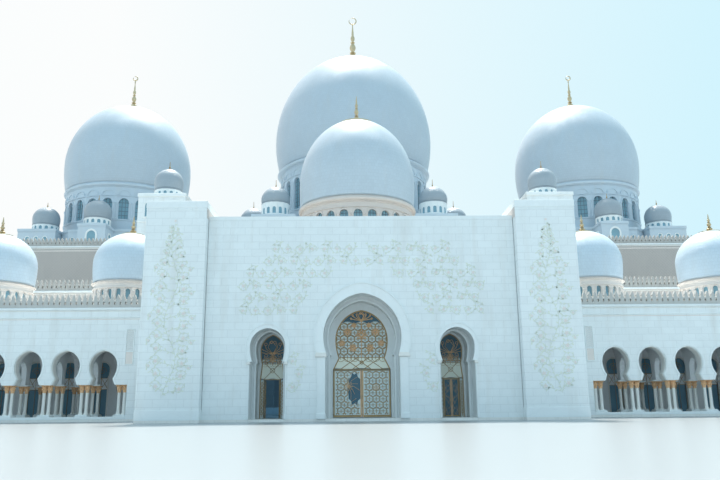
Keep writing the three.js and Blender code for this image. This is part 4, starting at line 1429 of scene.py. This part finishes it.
def capital(radius):
    """A gilded palm capital: a bell with curled leaves, made about the axis from its foot."""
    high = CAPITAL_TOP - CAPITAL_LOW
    bell = turned([(0, 0), (radius * 1.05, 0), (radius * 1.3, high * 0.05), (radius * 1.05, high * 0.10),
                   (radius * 1.1, high * 0.4), (radius * 1.45, high * 0.82), (0, high * 0.86)], 10)
    lobe = radius * 0.36
    leaf = [(-radius * 0.9, high * 0.10), (-radius * 1.15, high * 0.45), (-radius * 1.5, high * 0.74),
            (-radius * 1.95, high * 0.78), (-radius * 1.85, high * 0.93), (-radius * 1.3, high * 0.94),
            (-radius * 0.9, high * 0.6)]
    ring = ringed(sideways(leaf, -lobe, lobe), 8)
    lower = [(-radius * 0.9, high * 0.06), (-radius * 1.25, high * 0.30), (-radius * 1.7, high * 0.44),
             (-radius * 1.5, high * 0.54), (-radius * 0.9, high * 0.50)]
    skirt = moved(ringed(sideways(lower, -lobe, lobe), 8), turn=FULL / 16)
    return painted(joined([ring, skirt, bell]), "capital")


def shaft(radius):
    foot, top = 0.072, CAPITAL_LOW
    profile = [(0, foot), (radius * 1.45, foot), (radius * 1.5, foot + 0.005), (radius * 1.4, foot + 0.010),
               (radius * 1.1, foot + 0.012), (radius * 1.25, foot + 0.018), (radius, foot + 0.024),
               (radius * 0.94, top - 0.006), (radius * 1.05, top), (0, top)]
    return painted(turned(profile, 12), "shaft")


def cluster(legs):
    """Columns on one plinth under one abacus, made about the axis."""
    column = joined([shaft(SHAFT_RADIUS), moved(capital(SHAFT_RADIUS), z=CAPITAL_LOW)])
    columns = [copied(column, x=dx, y=dy) for dx, dy in legs]
    discard(column)
    half = 0.062
    stones = [block("plain", (-half, half), (-half, half), (0.050, 0.064), 0.002),
              block("plain", (-half + 0.006, half - 0.006), (-half + 0.006, half - 0.006),
                    (0.064, 0.072), 0.002),
              block("capital", (-half + 0.004, half - 0.004), (-half + 0.004, half - 0.004),
                    (CAPITAL_TOP - 0.008, CAPITAL_TOP - 0.002), 0.001),
              block("plain", (-half, half), (-half, half),
                    (CAPITAL_TOP - 0.004, CAPITAL_TOP + 0.010), 0.002)]
    return joined(columns + stones)


def arcade_front():
    """The right wing's front: arches, mouldings and parapet."""
    outline = [(PORTAL_HALF, FLOOR), (CLUSTERS[0] - 0.065, FLOOR), (CLUSTERS[0] - 0.065, CAPITAL_TOP)]
    for x in BAYS:
        outline += arch_outline(ARCADE_ARCH, x, CAPITAL_TOP, 14)
    outline += [(WING_INNER, CAPITAL_TOP), (WING_INNER, ARCADE_TOP), (PORTAL_HALF, ARCADE_TOP)]
    wall = painted(upright(outline, ARCADE_Y, ARCADE_Y + ARCADE_DEPTH), "wall")
    ends = (PORTAL_HALF, WING_INNER)
    parts = courses(ends, ARCADE_Y, [((1.130, 1.154), 0.012, "plain"), ((1.116, 1.124), 0.005, "cream"),
                                     ((1.048, 1.060), 0.008, "plain"), ((1.030, 1.038), 0.003, "warm")])
    for x in BAYS:
        parts.append(arch_band("plain", ARCADE_ARCH, x, 0.43, 0.012, 0.021,
                               ARCADE_Y - 0.005, ARCADE_Y + 0.004, 14))
        parts.append(arch_band("cream", ARCADE_ARCH, x, CAPITAL_TOP + 0.004, -0.005, 0.003,
                               ARCADE_Y + 0.02, ARCADE_Y + 0.10, 14))
    parts += grille(2.38)
    # The merlons take darkened stone: painted shade
    parts.append(crest(*ends, ARCADE_Y, ARCADE_TOP, ARCADE_CREST))
    return joined(parts + [wall])


def grille(x):
    """The narrow pierced panel beside the first bay."""
    half, low, high = 0.036, 0.575, 0.925
    y = ARCADE_Y
    parts = [block("reveal", (x - half, x + half), (y - 0.002, y + 0.002), (low, high)),
             block("warm", (x - half, x + half), (y - 0.003, y + 0.002), (low, low + 0.12))]
    for x0, x1 in ((x - half - 0.008, x - half), (x + half, x + half + 0.008)):
        parts.append(block("plain", (x0, x1), (y - 0.008, y + 0.004), (low, high), 0.002))
    for z in (low - 0.008, high, low + 0.12):
        parts.append(block("plain", (x - half - 0.008, x + half + 0.008),
                           (y - 0.008, y + 0.004), (z, z + 0.008), 0.002))
    lines = []
    for i in range(9):
        z = low + 0.14 + 0.023 * i
        lines += [[(x - half, z), (x, z + 0.022)], [(x + half, z), (x, z + 0.022)]]
    parts.append(wall_bars(lines, y - 0.004, 0.0022, "cream"))
    return parts


def arcade_columns():
    pattern = cluster([(-0.028, 0), (0.028, 0)])
    parts = [copied(pattern, x=x, y=ROW_YS[0]) for x in CLUSTERS]
    discard(pattern)
    strip = block("plain", (CLUSTERS[0] - 0.065, WING_INNER),
                  (ARCADE_Y + 0.001, ARCADE_Y + ARCADE_DEPTH - 0.001), (FLOOR, 0.0505), 0.003)
    return joined(parts + [strip])


def arcade_inside():
    """Clusters inside the arcade, and the cross arches that they carry."""
    pattern = cluster([(-0.028, 0), (0.028, 0)])
    foot = block("plain", (-0.062, 0.062), (-0.062, 0.062), (FLOOR, 0.051))
    pattern = joined([foot, pattern])
    parts = []
    for i, x in enumerate(CLUSTERS[:-1]):
        rows = ROW_YS[1:2] if i in DOME_BAYS else ROW_YS[1:]
        parts += [copied(pattern, x=x, y=y) for y in rows]
        parts.append(cross_rib(x, [ARCADE_Y + ARCADE_DEPTH, *rows, BACK_ROW_Y]))
    discard(pattern)
    return joined(parts)


def cross_rib(x, edges):
    """A wall of pointed arches across the arcade, from its front to the wall behind."""
    outline = [(edges[0] + 0.001, 0.50)]
    for near, far in zip(edges, edges[1:]):
        half = (far - near) / 2 - 0.045
        outline += round_arch((near + far) / 2, half, CAPITAL_TOP + 0.006, 0.50, min(0.36, half * 1.3), 8)
    outline += [(edges[-1] - 0.001, 0.50), (edges[-1] - 0.001, 1.019), (edges[0] + 0.001, 1.019)]
    return painted(sideways(outline, x - 0.026, x + 0.026), "inside")


def back_row():
    """The wall behind the arcade, with glazed keyhole arches."""
    outline = [(PORTAL_HALF, FLOOR)]
    for x in BAYS:
        outline += arch_outline(BACK_ARCH, x, FLOOR, 12)
    outline += [(WING_INNER, FLOOR), (WING_INNER, 1.019), (PORTAL_HALF, 1.019)]
    parts = []
    for x in BAYS:
        parts.append(arch_band("cream", BACK_ARCH, x, FLOOR, -0.004, 0.012,
                               BACK_ROW_Y - 0.006, BACK_ROW_Y + 0.02, 12))
        inner = arch_outline(BACK_ARCH, x, FLOOR + 0.002, 12, -0.004)
        parts.append(painted(upright(inner, BACK_ROW_Y + 0.03, BACK_ROW_Y + 0.034), "gallery"))
        parts.append(block("inside", (x - 0.079, x + 0.079),
                           (BACK_ROW_Y + 0.024, BACK_ROW_Y + 0.036), (0.345, 0.475)))
        lines = [[(x, FLOOR + 0.004), (x, 0.65)], [(x - 0.079, 0.345), (x + 0.079, 0.345)],
                 [(x - 0.079, 0.475), (x + 0.079, 0.475)],
                 [(x - 0.079, 0.345), (x, 0.475), (x + 0.079, 0.345)],
                 [(x - 0.079, 0.475), (x, 0.345), (x + 0.079, 0.475)], arc(x, 0.55, 0.05, 0, 180, 8),
                 arc(x, 0.55, 0.025, 0, 360, 8), [(x - 0.075, FLOOR + 0.01), (x - 0.075, 0.345)],
                 [(x + 0.075, FLOOR + 0.01), (x + 0.075, 0.345)]]
        parts.append(wall_bars(lines, BACK_ROW_Y + 0.022, 0.003, "bronze"))
    wall = painted(upright(outline, BACK_ROW_Y, BACK_ROW_Y + 0.1), "inside")
    return joined(parts + [wall])


def aisle_front():
    ends = (PORTAL_HALF, WING_INNER)
    wall = block("rosy", ends, (AISLE_Y, AISLE_Y + 0.1), (FLOOR, AISLE_TOP))
    parts = courses(ends, AISLE_Y, [((1.555, 1.582), 0.012, "plain"), ((1.535, 1.545), 0.005, "cream"),
                                    ((1.345, 1.357), 0.006, "plain")])
    # The merlons take the darkest stone: painted shade
    parts.append(crest(*ends, AISLE_Y, AISLE_TOP, AISLE_CREST, "high_crest"))
    return joined(parts + [wall])


def niche_arch(size, foot):
    """The keyhole arch of the arcade at another size, for windows and blind niches."""
    return {key: value * size + (0 if key in ("jamb", "neck", "wide") else foot)
            for key, value in dict(jamb=0.100, jamb_top=0.25, neck=0.086, neck_z=0.30, wide=0.118,
                                   wide_z=0.41, apex=0.56).items()}


def niche(x, y, arch, foot, depth):
    """A glazed keyhole window: a dark pane, slim gilded bars and a moulded surround that faces forwards."""
    pane_face = upright(arch_outline(arch, x, foot, 10, -0.002), y + depth * 0.5, y + depth * 0.5 + 0.004)
    band = arch_band("plain", arch, x, foot, -0.004, 0.014, y - PROUD, y + depth, 10)
    half = arch["jamb"] * 0.96
    lines = [[(x, foot), (x, arch["apex"] - 0.01)], [(x - half, arch["neck_z"]), (x + half, arch["neck_z"])]]
    for i in range(1, 4):
        z = foot + (arch["neck_z"] - foot) * i / 4
        lines.append([(x - half, z), (x + half, z)])
    sill = block("plain", (x - arch["jamb"] - 0.02, x + arch["jamb"] + 0.02), (y - PROUD, y + depth),
                 (foot - 0.016, foot), 0.002)
    return [painted(pane_face, "glass"), band, sill, wall_bars(lines, y + depth * 0.4, 0.003, "bronze")]


def niche_row(wall, xs, y, size, foot, depth=0.02):
    """Cuts a row of niches into a wall that faces forwards, and glazes them."""
    arch = niche_arch(size, foot)
    parts = []
    for x in xs:
        cut_out(wall, upright(arch_outline(arch, x, foot, 10), y - 0.05, y + depth))
        parts += niche(x, y, arch, foot, depth)
    return parts


def wing_end():
    """The closed end of the right wing, made facing forwards and then turned to the side."""
    near, middle, far = ARCADE_Y, AISLE_Y, HALL_Y
    outline = [(near, FLOOR), (far, FLOOR), (far, AISLE_TOP), (middle, AISLE_TOP), (middle, ARCADE_TOP),
               (near, ARCADE_TOP)]
    wall = painted(upright(outline, 0, WING_HALF - WING_INNER), "wall")
    parts = niche_row(wall, [near + 0.42 + 0.35 * i for i in range(7)], 0, 1.15, 0.16)
    parts += courses((near, middle), 0, [((1.130, 1.154), PROUD, "plain"), ((1.048, 1.060), 0.005, "plain")])
    parts += courses((middle, far), 0, [((1.555, 1.582), PROUD, "plain"), ((1.345, 1.357), 0.005, "plain"),
                                        ((1.048, 1.060), 0.005, "plain")])
    # Both rows of merlons take darkened stone: painted shade
    parts.append(crest(near, middle, 0, ARCADE_TOP, ARCADE_CREST))
    parts.append(crest(middle, far, 0, AISLE_TOP, AISLE_CREST, "high_crest"))
    return moved(joined(parts + [wall]), x=WING_HALF, turn=math.pi / 2)


def both_sides(piece, name, slot, replaces=True):
    """Hands over a piece of the right wing, and its mirror image for the left wing."""
    for word, scale in (("left", (-1, 1, 1)), ("right", (1, 1, 1))):
        nodes = [f"{name}_{word}"] if replaces else []
        finished(copied(piece, scale=scale), f"{name}_{word}_stone", slot, *nodes)
    discard(piece)


class MOSQUE_OT_wings(bpy.types.Operator):
    """Builds the arcades with their columns, the aisles behind them and the closed ends"""

    bl_idname = "mosque.wings"
    bl_label = "Wings"

    def execute(self, context):
        both_sides(arcade_front(), "arcade_wall", "white_marble")
        both_sides(arcade_columns(), "arcade_columns", "column_marble")
        both_sides(arcade_inside(), "arcade_inside", "column_marble", replaces=False)
        both_sides(back_row(), "inner_arcade", "pale_stone")
        both_sides(aisle_front(), "aisle_wall", "rosy_stone")
        both_sides(wing_end(), "wing_end_wall", "white_marble")
        return {"FINISHED"}


# The prayer hall, the turrets and the podia under the great domes

HALL_LINES = [((2.452, 2.479), PROUD, "plain"), ((2.432, 2.444), 0.003, "cream"),
              ((2.395, 2.410), 0.004, "warm"), ((1.765, 1.785), PROUD, "plain")]
LATTICE = (1.785, 2.395)
TURRET = (2.41, 3.09)
TURRET_DEPTH = 0.7
MAIN_PODIUM = dict(apothem=1.86, top=3.52, hole=1.42, ring=2.09, bay_half=0.335, bay_reach=2.40,
                   corner_half=0.40, corner_centre=1.478, small=MAIN_SMALL)
SIDE_PODIUM = dict(apothem=1.43, top=3.36, hole=1.095, ring=1.61, bay_half=0.258, bay_reach=1.88,
                   corner_half=0.355, corner_centre=1.145, small=SIDE_SMALL)
PODIUM_FOOT = 2.4


def hall_face(half, door, windows):
    """One wall of the hall, made facing forwards with its face on y = 0."""
    inset = 0.006
    outline = [(-half, FLOOR), (half, FLOOR), (half, HALL_TOP), (-half, HALL_TOP)]
    if door:
        outline = [(-half, FLOOR), (-door[0], FLOOR), (-door[0], door[1]), (door[0], door[1]),
                   (door[0], FLOOR), (half, FLOOR), (half, HALL_TOP), (-half, HALL_TOP)]
    # The hall wall is rosy marble darkened: painted shade
    wall = painted(upright(outline, inset, 0.1), "high")
    parts = niche_row(wall, windows, inset, 1.9, 0.32, 0.035)
    low, high = LATTICE
    # The lattice band is rosy marble darkened: painted shade
    parts.append(block("carved", (-half, half), (inset - 0.003, inset + 0.01), (low, high)))
    ends = (-half, half)
    parts += courses(ends, inset, HALL_LINES + [((FLOOR, 0.115), PROUD, "plain"),
                                                ((1.560, 1.580), 0.005, "plain")])
    # The merlons take the darkest stone: painted shade
    parts.append(crest(-half, half, 0, HALL_TOP, HALL_CREST, "high_crest"))
    return joined(parts + [wall])


class MOSQUE_OT_hall(bpy.types.Operator):
    """Builds the four walls of the prayer hall with their merlons"""

    bl_idname = "mosque.hall"
    bl_label = "Prayer hall"

    def execute(self, context):
        outer = [sign * x for sign in (-1, 1) for x in (5.35, 5.95, 6.45)]
        front = hall_face(HALL_HALF, (1.2, 1.6), outer)
        finished(moved(front, y=HALL_Y), "hall_front_stone", "rosy_stone", "hall_front_wall")
        back = hall_face(HALL_HALF, None, [0.75 * i for i in range(-8, 9)])
        finished(moved(back, y=BACK_Y, turn=math.pi), "hall_back_stone", "rosy_stone", "hall_back_wall")
        depth = (BACK_Y - HALL_Y) / 2 - 0.1
        pattern = hall_face(depth, None, [0.77 * (i - 4.5) for i in range(10)])
        for side, word in SIDES:
            twin = copied(pattern, x=side * HALL_HALF, y=(BACK_Y + HALL_Y) / 2, turn=side * math.pi / 2)
            finished(twin, f"hall_{word}_stone", "rosy_stone", f"hall_wall_{word}")
        discard(pattern)
        return {"FINISHED"}


def slim_window(x, y, half, sill, top):
    """A narrow arched window that faces forwards: dark pane, surround and sill."""
    spring = top - half
    pane_face = upright(round_arch(x, half, sill, spring, half, 6), y - 0.001, y + 0.004)
    outer = round_arch(x, half * 1.35, sill, spring, half * 1.45, 6)
    inner = round_arch(x, half * 0.98, sill, spring, half, 6)
    band = upright(inner + outer[::-1], y - 0.012, y + 0.004)
    sill_stone = block("plain", (x - half * 1.6, x + half * 1.6), (y - 0.016, y + 0.004),
                       (sill - 0.014, sill), 0.002)
    return [painted(pane_face, "glass"), painted(band, "plain"), sill_stone]


def ring_of_domes(size, ring, top):
    pattern = small_dome(size)
    domes = []
    for i in range(8):
        angle = FULL * i / 8
        domes.append(copied(pattern, x=ring * math.sin(angle), y=-ring * math.cos(angle), z=top))
    discard(pattern)
    return domes


def octagon(apothem):
    corner = apothem / math.cos(math.pi / 8)
    return [(corner * math.cos(FULL * (i + 0.5) / 8),
             corner * math.sin(FULL * (i + 0.5) / 8)) for i in range(8)]


def podium(shape):
    """A podium about its own axis: octagon, four bays and four corner blocks, with a ring of small domes."""
    top, apothem, reach, half = shape["top"], shape["apothem"], shape["bay_reach"], shape["bay_half"]
    middle, corner = shape["corner_centre"], shape["corner_half"]
    grown, lift = apothem / 1.43, top - 3.36
    parts = []

    def masonry(outline):
        body = level(outline(0.010), PODIUM_FOOT, top - 0.01)
        ledge = level(outline(0.0), top - 0.045, top)
        line = level(outline(0.004), top - 0.065, top - 0.052)
        foot = level(outline(0.0), PODIUM_FOOT, PODIUM_FOOT + 0.06)
        # The podium's masonry takes the darker, bluer marble: painted shade
        return [painted(piece, "shaded") for piece in (body, ledge, line, foot)]

    def square(x, y, half_x, half_y):
        return lambda inset: [(x - half_x + inset, y - half_y + inset),
                              (x + half_x - inset, y - half_y + inset),
                              (x + half_x - inset, y + half_y - inset),
                              (x - half_x + inset, y + half_y - inset)]

    def window(x, y, half_width, sill, head):
        return slim_window(x, y, half_width * grown, sill + lift, head + lift)

    core = masonry(lambda inset: octagon(apothem - inset))
    low, high, hole = PODIUM_FOOT - 0.1, top + 0.1, shape["hole"]
    hollow = turned([(0, low), (hole, low), (hole, high), (0, high)], 48)
    for piece in core[:2]:
        cut_out(piece, copied(hollow))
    discard(hollow)
    parts += core
    quarter = masonry(square(0, -reach + 0.3, half, 0.3))
    quarter += masonry(square(middle, -middle, corner, corner))
    quarter += window(0, -reach + 0.010, 0.078, 2.99, 3.23)
    for x in (-0.51, -0.40, 0.40, 0.51):
        quarter += window(x * grown, -apothem + 0.010, 0.024, 3.03, 3.20)
    cheek = window(-(apothem + reach) / 2, -half + 0.010, 0.07, 3.01, 3.20)
    for turn in (math.pi / 2, -math.pi / 2):
        quarter += [copied(part, turn=turn, scale=(-1 if turn > 0 else 1, 1, 1)) for part in cheek]
    discard(*cheek)
    for x in (-0.16, 0, 0.16):
        quarter += window(middle + x * grown, -middle - corner + 0.010, 0.034, 3.02, 3.21)
    flank = []
    for x in (-0.16, 0, 0.16):
        flank += window(x * grown - middle, -middle - corner + 0.010, 0.034, 3.02, 3.21)
    quarter.append(joined(flank))
    parts.append(ringed(joined(quarter), 4))
    parts += ring_of_domes(shape["small"], shape["ring"], top)
    return joined(parts)


class MOSQUE_OT_podia(bpy.types.Operator):
    """Builds the podia of the great domes with their rings of small domes"""

    bl_idname = "mosque.podia"
    bl_label = "Podia"

    def execute(self, context):
        main = podium(MAIN_PODIUM)
        finished(moved(main, y=DOME_Y), "main_podium_stone", "white_marble", "main_podium")
        pattern = podium(SIDE_PODIUM)
        for side, word in SIDES:
            twin = copied(pattern, x=side * SIDE_DOME_X, y=DOME_Y)
            finished(twin, f"side_podium_{word}_stone", "white_marble", f"side_podium_{word}")
        discard(pattern)
        return {"FINISHED"}


class MOSQUE_OT_turrets(bpy.types.Operator):
    """Builds the two square turrets behind the pylons"""

    bl_idname = "mosque.turrets"
    bl_label = "Turrets"

    def execute(self, context):
        half, top = (TURRET[1] - TURRET[0]) / 2, 3.08
        base, body_half = 1.5, half - 0.008
        deep = TURRET_DEPTH / 2
        parts = [block("plain", (-half, half), (-deep, deep), (top - 0.05, top), 0.004),
                 block("plain", (-half + 0.004, half - 0.004), (-deep + 0.004, deep - 0.004),
                       (2.66, 2.68), 0.002)]
        face = []
        for x in (-0.17, 0.17):
            face += slim_window(x, -body_half, 0.06, 2.74, 2.96)
        parts.append(ringed(joined(face), 4))
        parts.append(moved(small_dome(TURRET_SMALL), z=top))
        body = block("wall", (-body_half, body_half), (-body_half, body_half), (base, top - 0.01), 0.003)
        whole = joined(parts + [body])
        for side, word in SIDES:
            twin = copied(whole, x=side * sum(TURRET) / 2, y=HALL_Y - deep)
            finished(twin, f"turret_{word}_stone", "white_marble", f"turret_{word}")
        discard(whole)
        return {"FINISHED"}


# Inlaid vines on the pylons and the portal wall

def along(line, spacing):
    """Places at even steps along a chain, each with the direction of the chain there."""
    places, walked, due = [], 0.0, spacing / 2
    for (x0, z0), (x1, z1) in zip(line, line[1:]):
        length = math.hypot(x1 - x0, z1 - z0)
        while due <= walked + length:
            t = (due - walked) / length
            places.append((x0 + (x1 - x0) * t, z0 + (z1 - z0) * t, math.atan2(z1 - z0, x1 - x0)))
            due += spacing
        walked += length
    return places


def leafy(lines, spacing, size):
    """Leaves that stand out from the stems by turns to the left and to the right."""
    leaves = []
    for line in lines:
        for i, (x, z, angle) in enumerate(along(line, spacing)):
            leaves.append((x, z, angle + (0.95 if i % 2 else -0.95), size * (0.8 + 0.4 * ((i * 7) % 5) / 4)))
    return leaves


def flower_outline():
    points = []
    for k in range(5):
        for reach, offset in ((0.42, -36), (0.98, -15), (0.98, 15)):
            angle = math.radians(72 * k + offset)
            points.append((reach * math.cos(angle), reach * math.sin(angle)))
    return points


def inlay(name, stems, flowers, y):
    """Stems, leaves and flowers let into an upright face whose stone lies at y."""
    size = bpy.context.scene.mosque_sizes.stem
    leaf = upright([(0, 0), (0.25, 0.17), (0.6, 0.2), (1.0, 0.0), (0.6, -0.2), (0.25, -0.17)],
                   y - 0.0022, y + 0.002)
    flower = upright(flower_outline(), y - 0.0026, y + 0.002)
    eye = upright(arc(0, 0, 0.28, 0, 300, 5), y - 0.0032, y + 0.002)
    leaves = [(x, 0, z, turn, length) for x, z, turn, length in leafy(stems, 0.034, size * 4.6)]
    blooms = [(x, 0, z, x * 9 + z * 5, radius) for x, z, radius in flowers]
    parts = [wall_bars(stems, y - 0.0006, size * 0.36, "leaf"), stamped(leaf, leaves, "leaf"),
             stamped(flower, blooms, "flower"), stamped(eye, blooms, "warm")]
    discard(leaf, flower, eye)
    finished(joined(parts), name, "white_marble")


def curl(x, z, radius, start, way):
    """One scroll of a vine, with the place of its flower."""
    return scroll(x, z, radius, start, way * 0.95, 11, 0.40), (x, z, radius * 0.36)


def tree_width(z):
    """Half the breadth of a pylon's tree at a height."""
    steps = ((0.24, 0.165), (0.55, 0.195), (0.85, 0.195), (1.29, 0.165), (1.52, 0.115), (1.70, 0.062),
             (1.86, 0.02))
    for (z0, w0), (z1, w1) in zip(steps, steps[1:]):
        if z <= z1:
            return w0 + (w1 - w0) * (z - z0) / (z1 - z0)
    return steps[-1][1]


def tree(x):
    """A slender flowering tree: a winding trunk with scrolls on both sides."""
    trunk = [(x + 0.30 * tree_width(z) * math.sin(z * 8.5), z) for z in [0.24 + 0.027 * i for i in range(60)]]
    stems, flowers = [trunk], []
    z, count = 0.30, 0
    while z < 1.78:
        width = tree_width(z)
        radius = min(0.058, width * 0.36)
        for side in (-1, 1):
            middle = x + side * width * 0.62
            height = z + (0.025 if side > 0 else 0)
            stem, bloom = curl(middle, height, radius, 90 - side * 70, side)
            stems.append([(x + 0.30 * width * math.sin((height - 0.05) * 8.5), height - 0.05), stem[0]])
            stems.append(stem)
            flowers.append(bloom)
            if width > 0.12 and count % 2:
                outer = x + side * width * 1.0
                stem, bloom = curl(outer, height + radius * 1.25, radius * 0.5, 90 + side * 70, -side)
                stems.append(stem)
                flowers.append((bloom[0], bloom[1], bloom[2] * 1.3))
        z += radius * 1.75 + 0.012
        count += 1
    flowers.append((x, 1.865, 0.014))
    return stems, flowers


def wall_vines():
    """Scrolls over the right half of the portal wall, clear of its arches."""
    stems, flowers = [], []
    pitch = 0.118
    for row in range(12):
        for column in range(11):
            x = 0.06 + pitch * column + (0.059 if row % 2 else 0)
            z = 0.31 + row * pitch
            over_centre = math.hypot(x, (z - 0.77) * 0.86) > 0.62 if z > 0.77 else x > 0.54
            over_side = math.hypot(x - SIDE_PORTAL_X, z - 0.68) > 0.30 if z > 0.6 else x < 0.66
            near_edge = x < (1.16 if z < 1.45 else 0.92)
            if not (over_centre and over_side and near_edge and z < 1.68):
                continue
            way = 1 if (row + column) % 2 else -1
            stem, bloom = curl(x, z, 0.048, 200 + 70 * ((row * 3 + column) % 4), way)
            stems.append(stem)
            flowers.append(bloom)
            x0, z0 = stem[0]
            stems.append([(x0, z0), ((x0 + x) / 2 - way * 0.047, z0 + 0.04), (x - way * 0.067, z + 0.067)])
    return stems, flowers


class MOSQUE_OT_inlay(bpy.types.Operator):
    """Lays flowering vines into the pylons and the portal wall"""

    bl_idname = "mosque.inlay"
    bl_label = "Inlaid vines"

    def execute(self, context):
        for side, word in SIDES:
            for part, y, (stems, flowers) in (("pylon", PYLON_Y + 0.004, tree(1.765)),
                                              ("wall", PORTAL_Y, wall_vines())):
                stems = [[(side * x, z) for x, z in line] for line in stems]
                flowers = [(side * x, z, radius) for x, z, radius in flowers]
                inlay(f"{part}_vine_{word}", stems, flowers, y)
        return {"FINISHED"}


# The stage: floor, light and camera

def soft_sky():
    """A bright sky behind the building that turns from white to pale blue, and a cool one in front of it."""
    world = bpy.data.worlds.new("Soft sky")
    bpy.context.scene.world = world
    world.use_nodes = True
    tree = world.node_tree
    way = tree.nodes.new("ShaderNodeSeparateXYZ")
    link(tree, tree.nodes.new("ShaderNodeTexCoord").outputs["Generated"], way.inputs[0])
    across = add_node(tree, "ShaderNodeMapRange", value=way.outputs[0], from_min=-0.30, from_max=0.48)
    behind = mixed(tree, across.outputs[0], (0.965, 0.985, 0.985), (0.64, 0.90, 0.99))
    depth = add_node(tree, "ShaderNodeMapRange", value=way.outputs[1], from_min=-0.25, from_max=0.35)
    colour = mixed(tree, depth.outputs[0], (0.63, 0.89, 1.05), behind)
    link(tree, colour, tree.nodes["Background"].inputs["Color"])
    tree.nodes["Background"].inputs["Strength"].default_value = 1.0


def sunlight():
    light = bpy.data.lights.new("Sun", "SUN")
    light.energy = 6.0
    light.angle = math.radians(10)
    light.color = (1.0, 0.97, 0.92)
    lamp = bpy.data.objects.new("Sun", light)
    bpy.context.collection.objects.link(lamp)
    lamp.rotation_euler = Vector((-0.01, 0.40, 0.92)).to_track_quat("Z", "Y").to_euler()


def room_light(name, y, z, power):
    """A soft lamp on the front wall of a room, so that open doors show dim blue rooms, not black ones."""
    light = bpy.data.lights.new(name, "AREA")
    light.shape = "RECTANGLE"
    light.size = 2.4
    light.size_y = 0.3
    light.energy = power
    light.color = (0.22, 0.55, 0.92)
    lamp = bpy.data.objects.new(name, light)
    bpy.context.collection.objects.link(lamp)
    lamp.location = (0, y, z)
    lamp.rotation_euler = Vector((0, -1, 0.45)).to_track_quat("Z", "Y").to_euler()


def viewpoint():
    camera = bpy.data.cameras.new("Camera")
    camera.lens = 35.3175
    camera.sensor_width = 36
    camera.sensor_fit = "HORIZONTAL"
    camera.clip_start = 0.05
    camera.clip_end = 500
    stand = bpy.data.objects.new("Camera", camera)
    bpy.context.collection.objects.link(stand)
    turn = (Matrix.Rotation(math.radians(-1.04), 4, "Z") @ Matrix.Rotation(math.radians(103.05), 4, "X")
            @ Matrix.Rotation(math.radians(-0.51), 4, "Z"))
    stand.matrix_world = Matrix.Translation((-0.135, -12.363, 0.157)) @ turn
    bpy.context.scene.camera = stand


def studio_floor(colour):
    clear_selection()
    bpy.ops.mesh.primitive_plane_add(size=240, location=(0, 0, 0))
    floor = bpy.context.object
    floor.name = floor.data.name = "studio_floor"
    material = bpy.data.materials.new("Studio floor")
    material.use_nodes = True
    shader = material.node_tree.nodes["Principled BSDF"]
    shader.inputs["Base Color"].default_value = (*colour, 1)
    shader.inputs["Roughness"].default_value = 0.3
    floor.data.materials.append(material)


class MOSQUE_OT_stage(bpy.types.Operator):
    """Sets up the pale floor, the soft light and the camera"""

    bl_idname = "mosque.stage"
    bl_label = "Stage"

    def execute(self, context):
        view = context.scene.view_settings
        view.view_transform = "Standard"
        view.look = "None"
        soft_sky()
        sunlight()
        room_light("Vestibule", PORTAL_BACK_Y + 0.3, 1.55, 12)
        room_light("Hall", HALL_Y + 0.6, 1.9, 60)
        viewpoint()
        studio_floor(tuple(context.scene.mosque_colours.floor))
        return {"FINISHED"}


class MOSQUE_OT_finishes(bpy.types.Operator):
    """Makes the materials, and puts them on the slabs and roofs that stay as they are"""

    bl_idname = "mosque.finishes"
    bl_label = "Finishes"

    def execute(self, context):
        make_finishes(context.scene.mosque_sizes, context.scene.mosque_colours)
        for name, kind in KEPT.items():
            for slot in bpy.data.objects[name].material_slots:
                slot.material = FINISHES[kind]
        return {"FINISHED"}


class MOSQUE_PT_sidebar(bpy.types.Panel):
    """Lists the sizes, the colours and the steps that build the mosque"""

    bl_idname = "MOSQUE_PT_sidebar"
    bl_label = "Mosque building"
    bl_space_type = "VIEW_3D"
    bl_region_type = "UI"
    bl_category = "Mosque"

    def draw(self, context):
        column = self.layout.column()
        for owner in (context.scene.mosque_sizes, context.scene.mosque_colours):
            for key in type(owner).__annotations__:
                column.prop(owner, key)
        for step in STEPS:
            column.operator(step.bl_idname)


KEPT = {
    "floor_slab": "ground",
    "hall_roof": "roof",
    "vestibule_roof": "roof",
    "vestibule_wall_left": "wall",
    "vestibule_wall_right": "wall",
    "arcade_roof_left": "plain",
    "arcade_roof_right": "plain",
    "aisle_roof_left": "roof",
    "aisle_roof_right": "roof",
}

STEPS = (MOSQUE_OT_finishes, MOSQUE_OT_great_domes, MOSQUE_OT_front_dome, MOSQUE_OT_arcade_domes,
         MOSQUE_OT_portal_walls, MOSQUE_OT_portal_screens, MOSQUE_OT_door_leaves, MOSQUE_OT_wings,
         MOSQUE_OT_hall, MOSQUE_OT_podia, MOSQUE_OT_turrets, MOSQUE_OT_inlay, MOSQUE_OT_stage)
CLASSES = (MosqueSizes, MosqueColours, *STEPS, MOSQUE_PT_sidebar)


def register():
    for kind in CLASSES:
        bpy.utils.register_class(kind)
    bpy.types.Scene.mosque_sizes = bpy.props.PointerProperty(type=MosqueSizes)
    bpy.types.Scene.mosque_colours = bpy.props.PointerProperty(type=MosqueColours)


def unregister():
    del bpy.types.Scene.mosque_colours
    del bpy.types.Scene.mosque_sizes
    for kind in reversed(CLASSES):
        bpy.utils.unregister_class(kind)


def main():
    register()
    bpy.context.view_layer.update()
    for step in STEPS:
        family, action = step.bl_idname.split(".")
        getattr(getattr(bpy.ops, family), action)()
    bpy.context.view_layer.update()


if __name__ == "__main__":
    main()
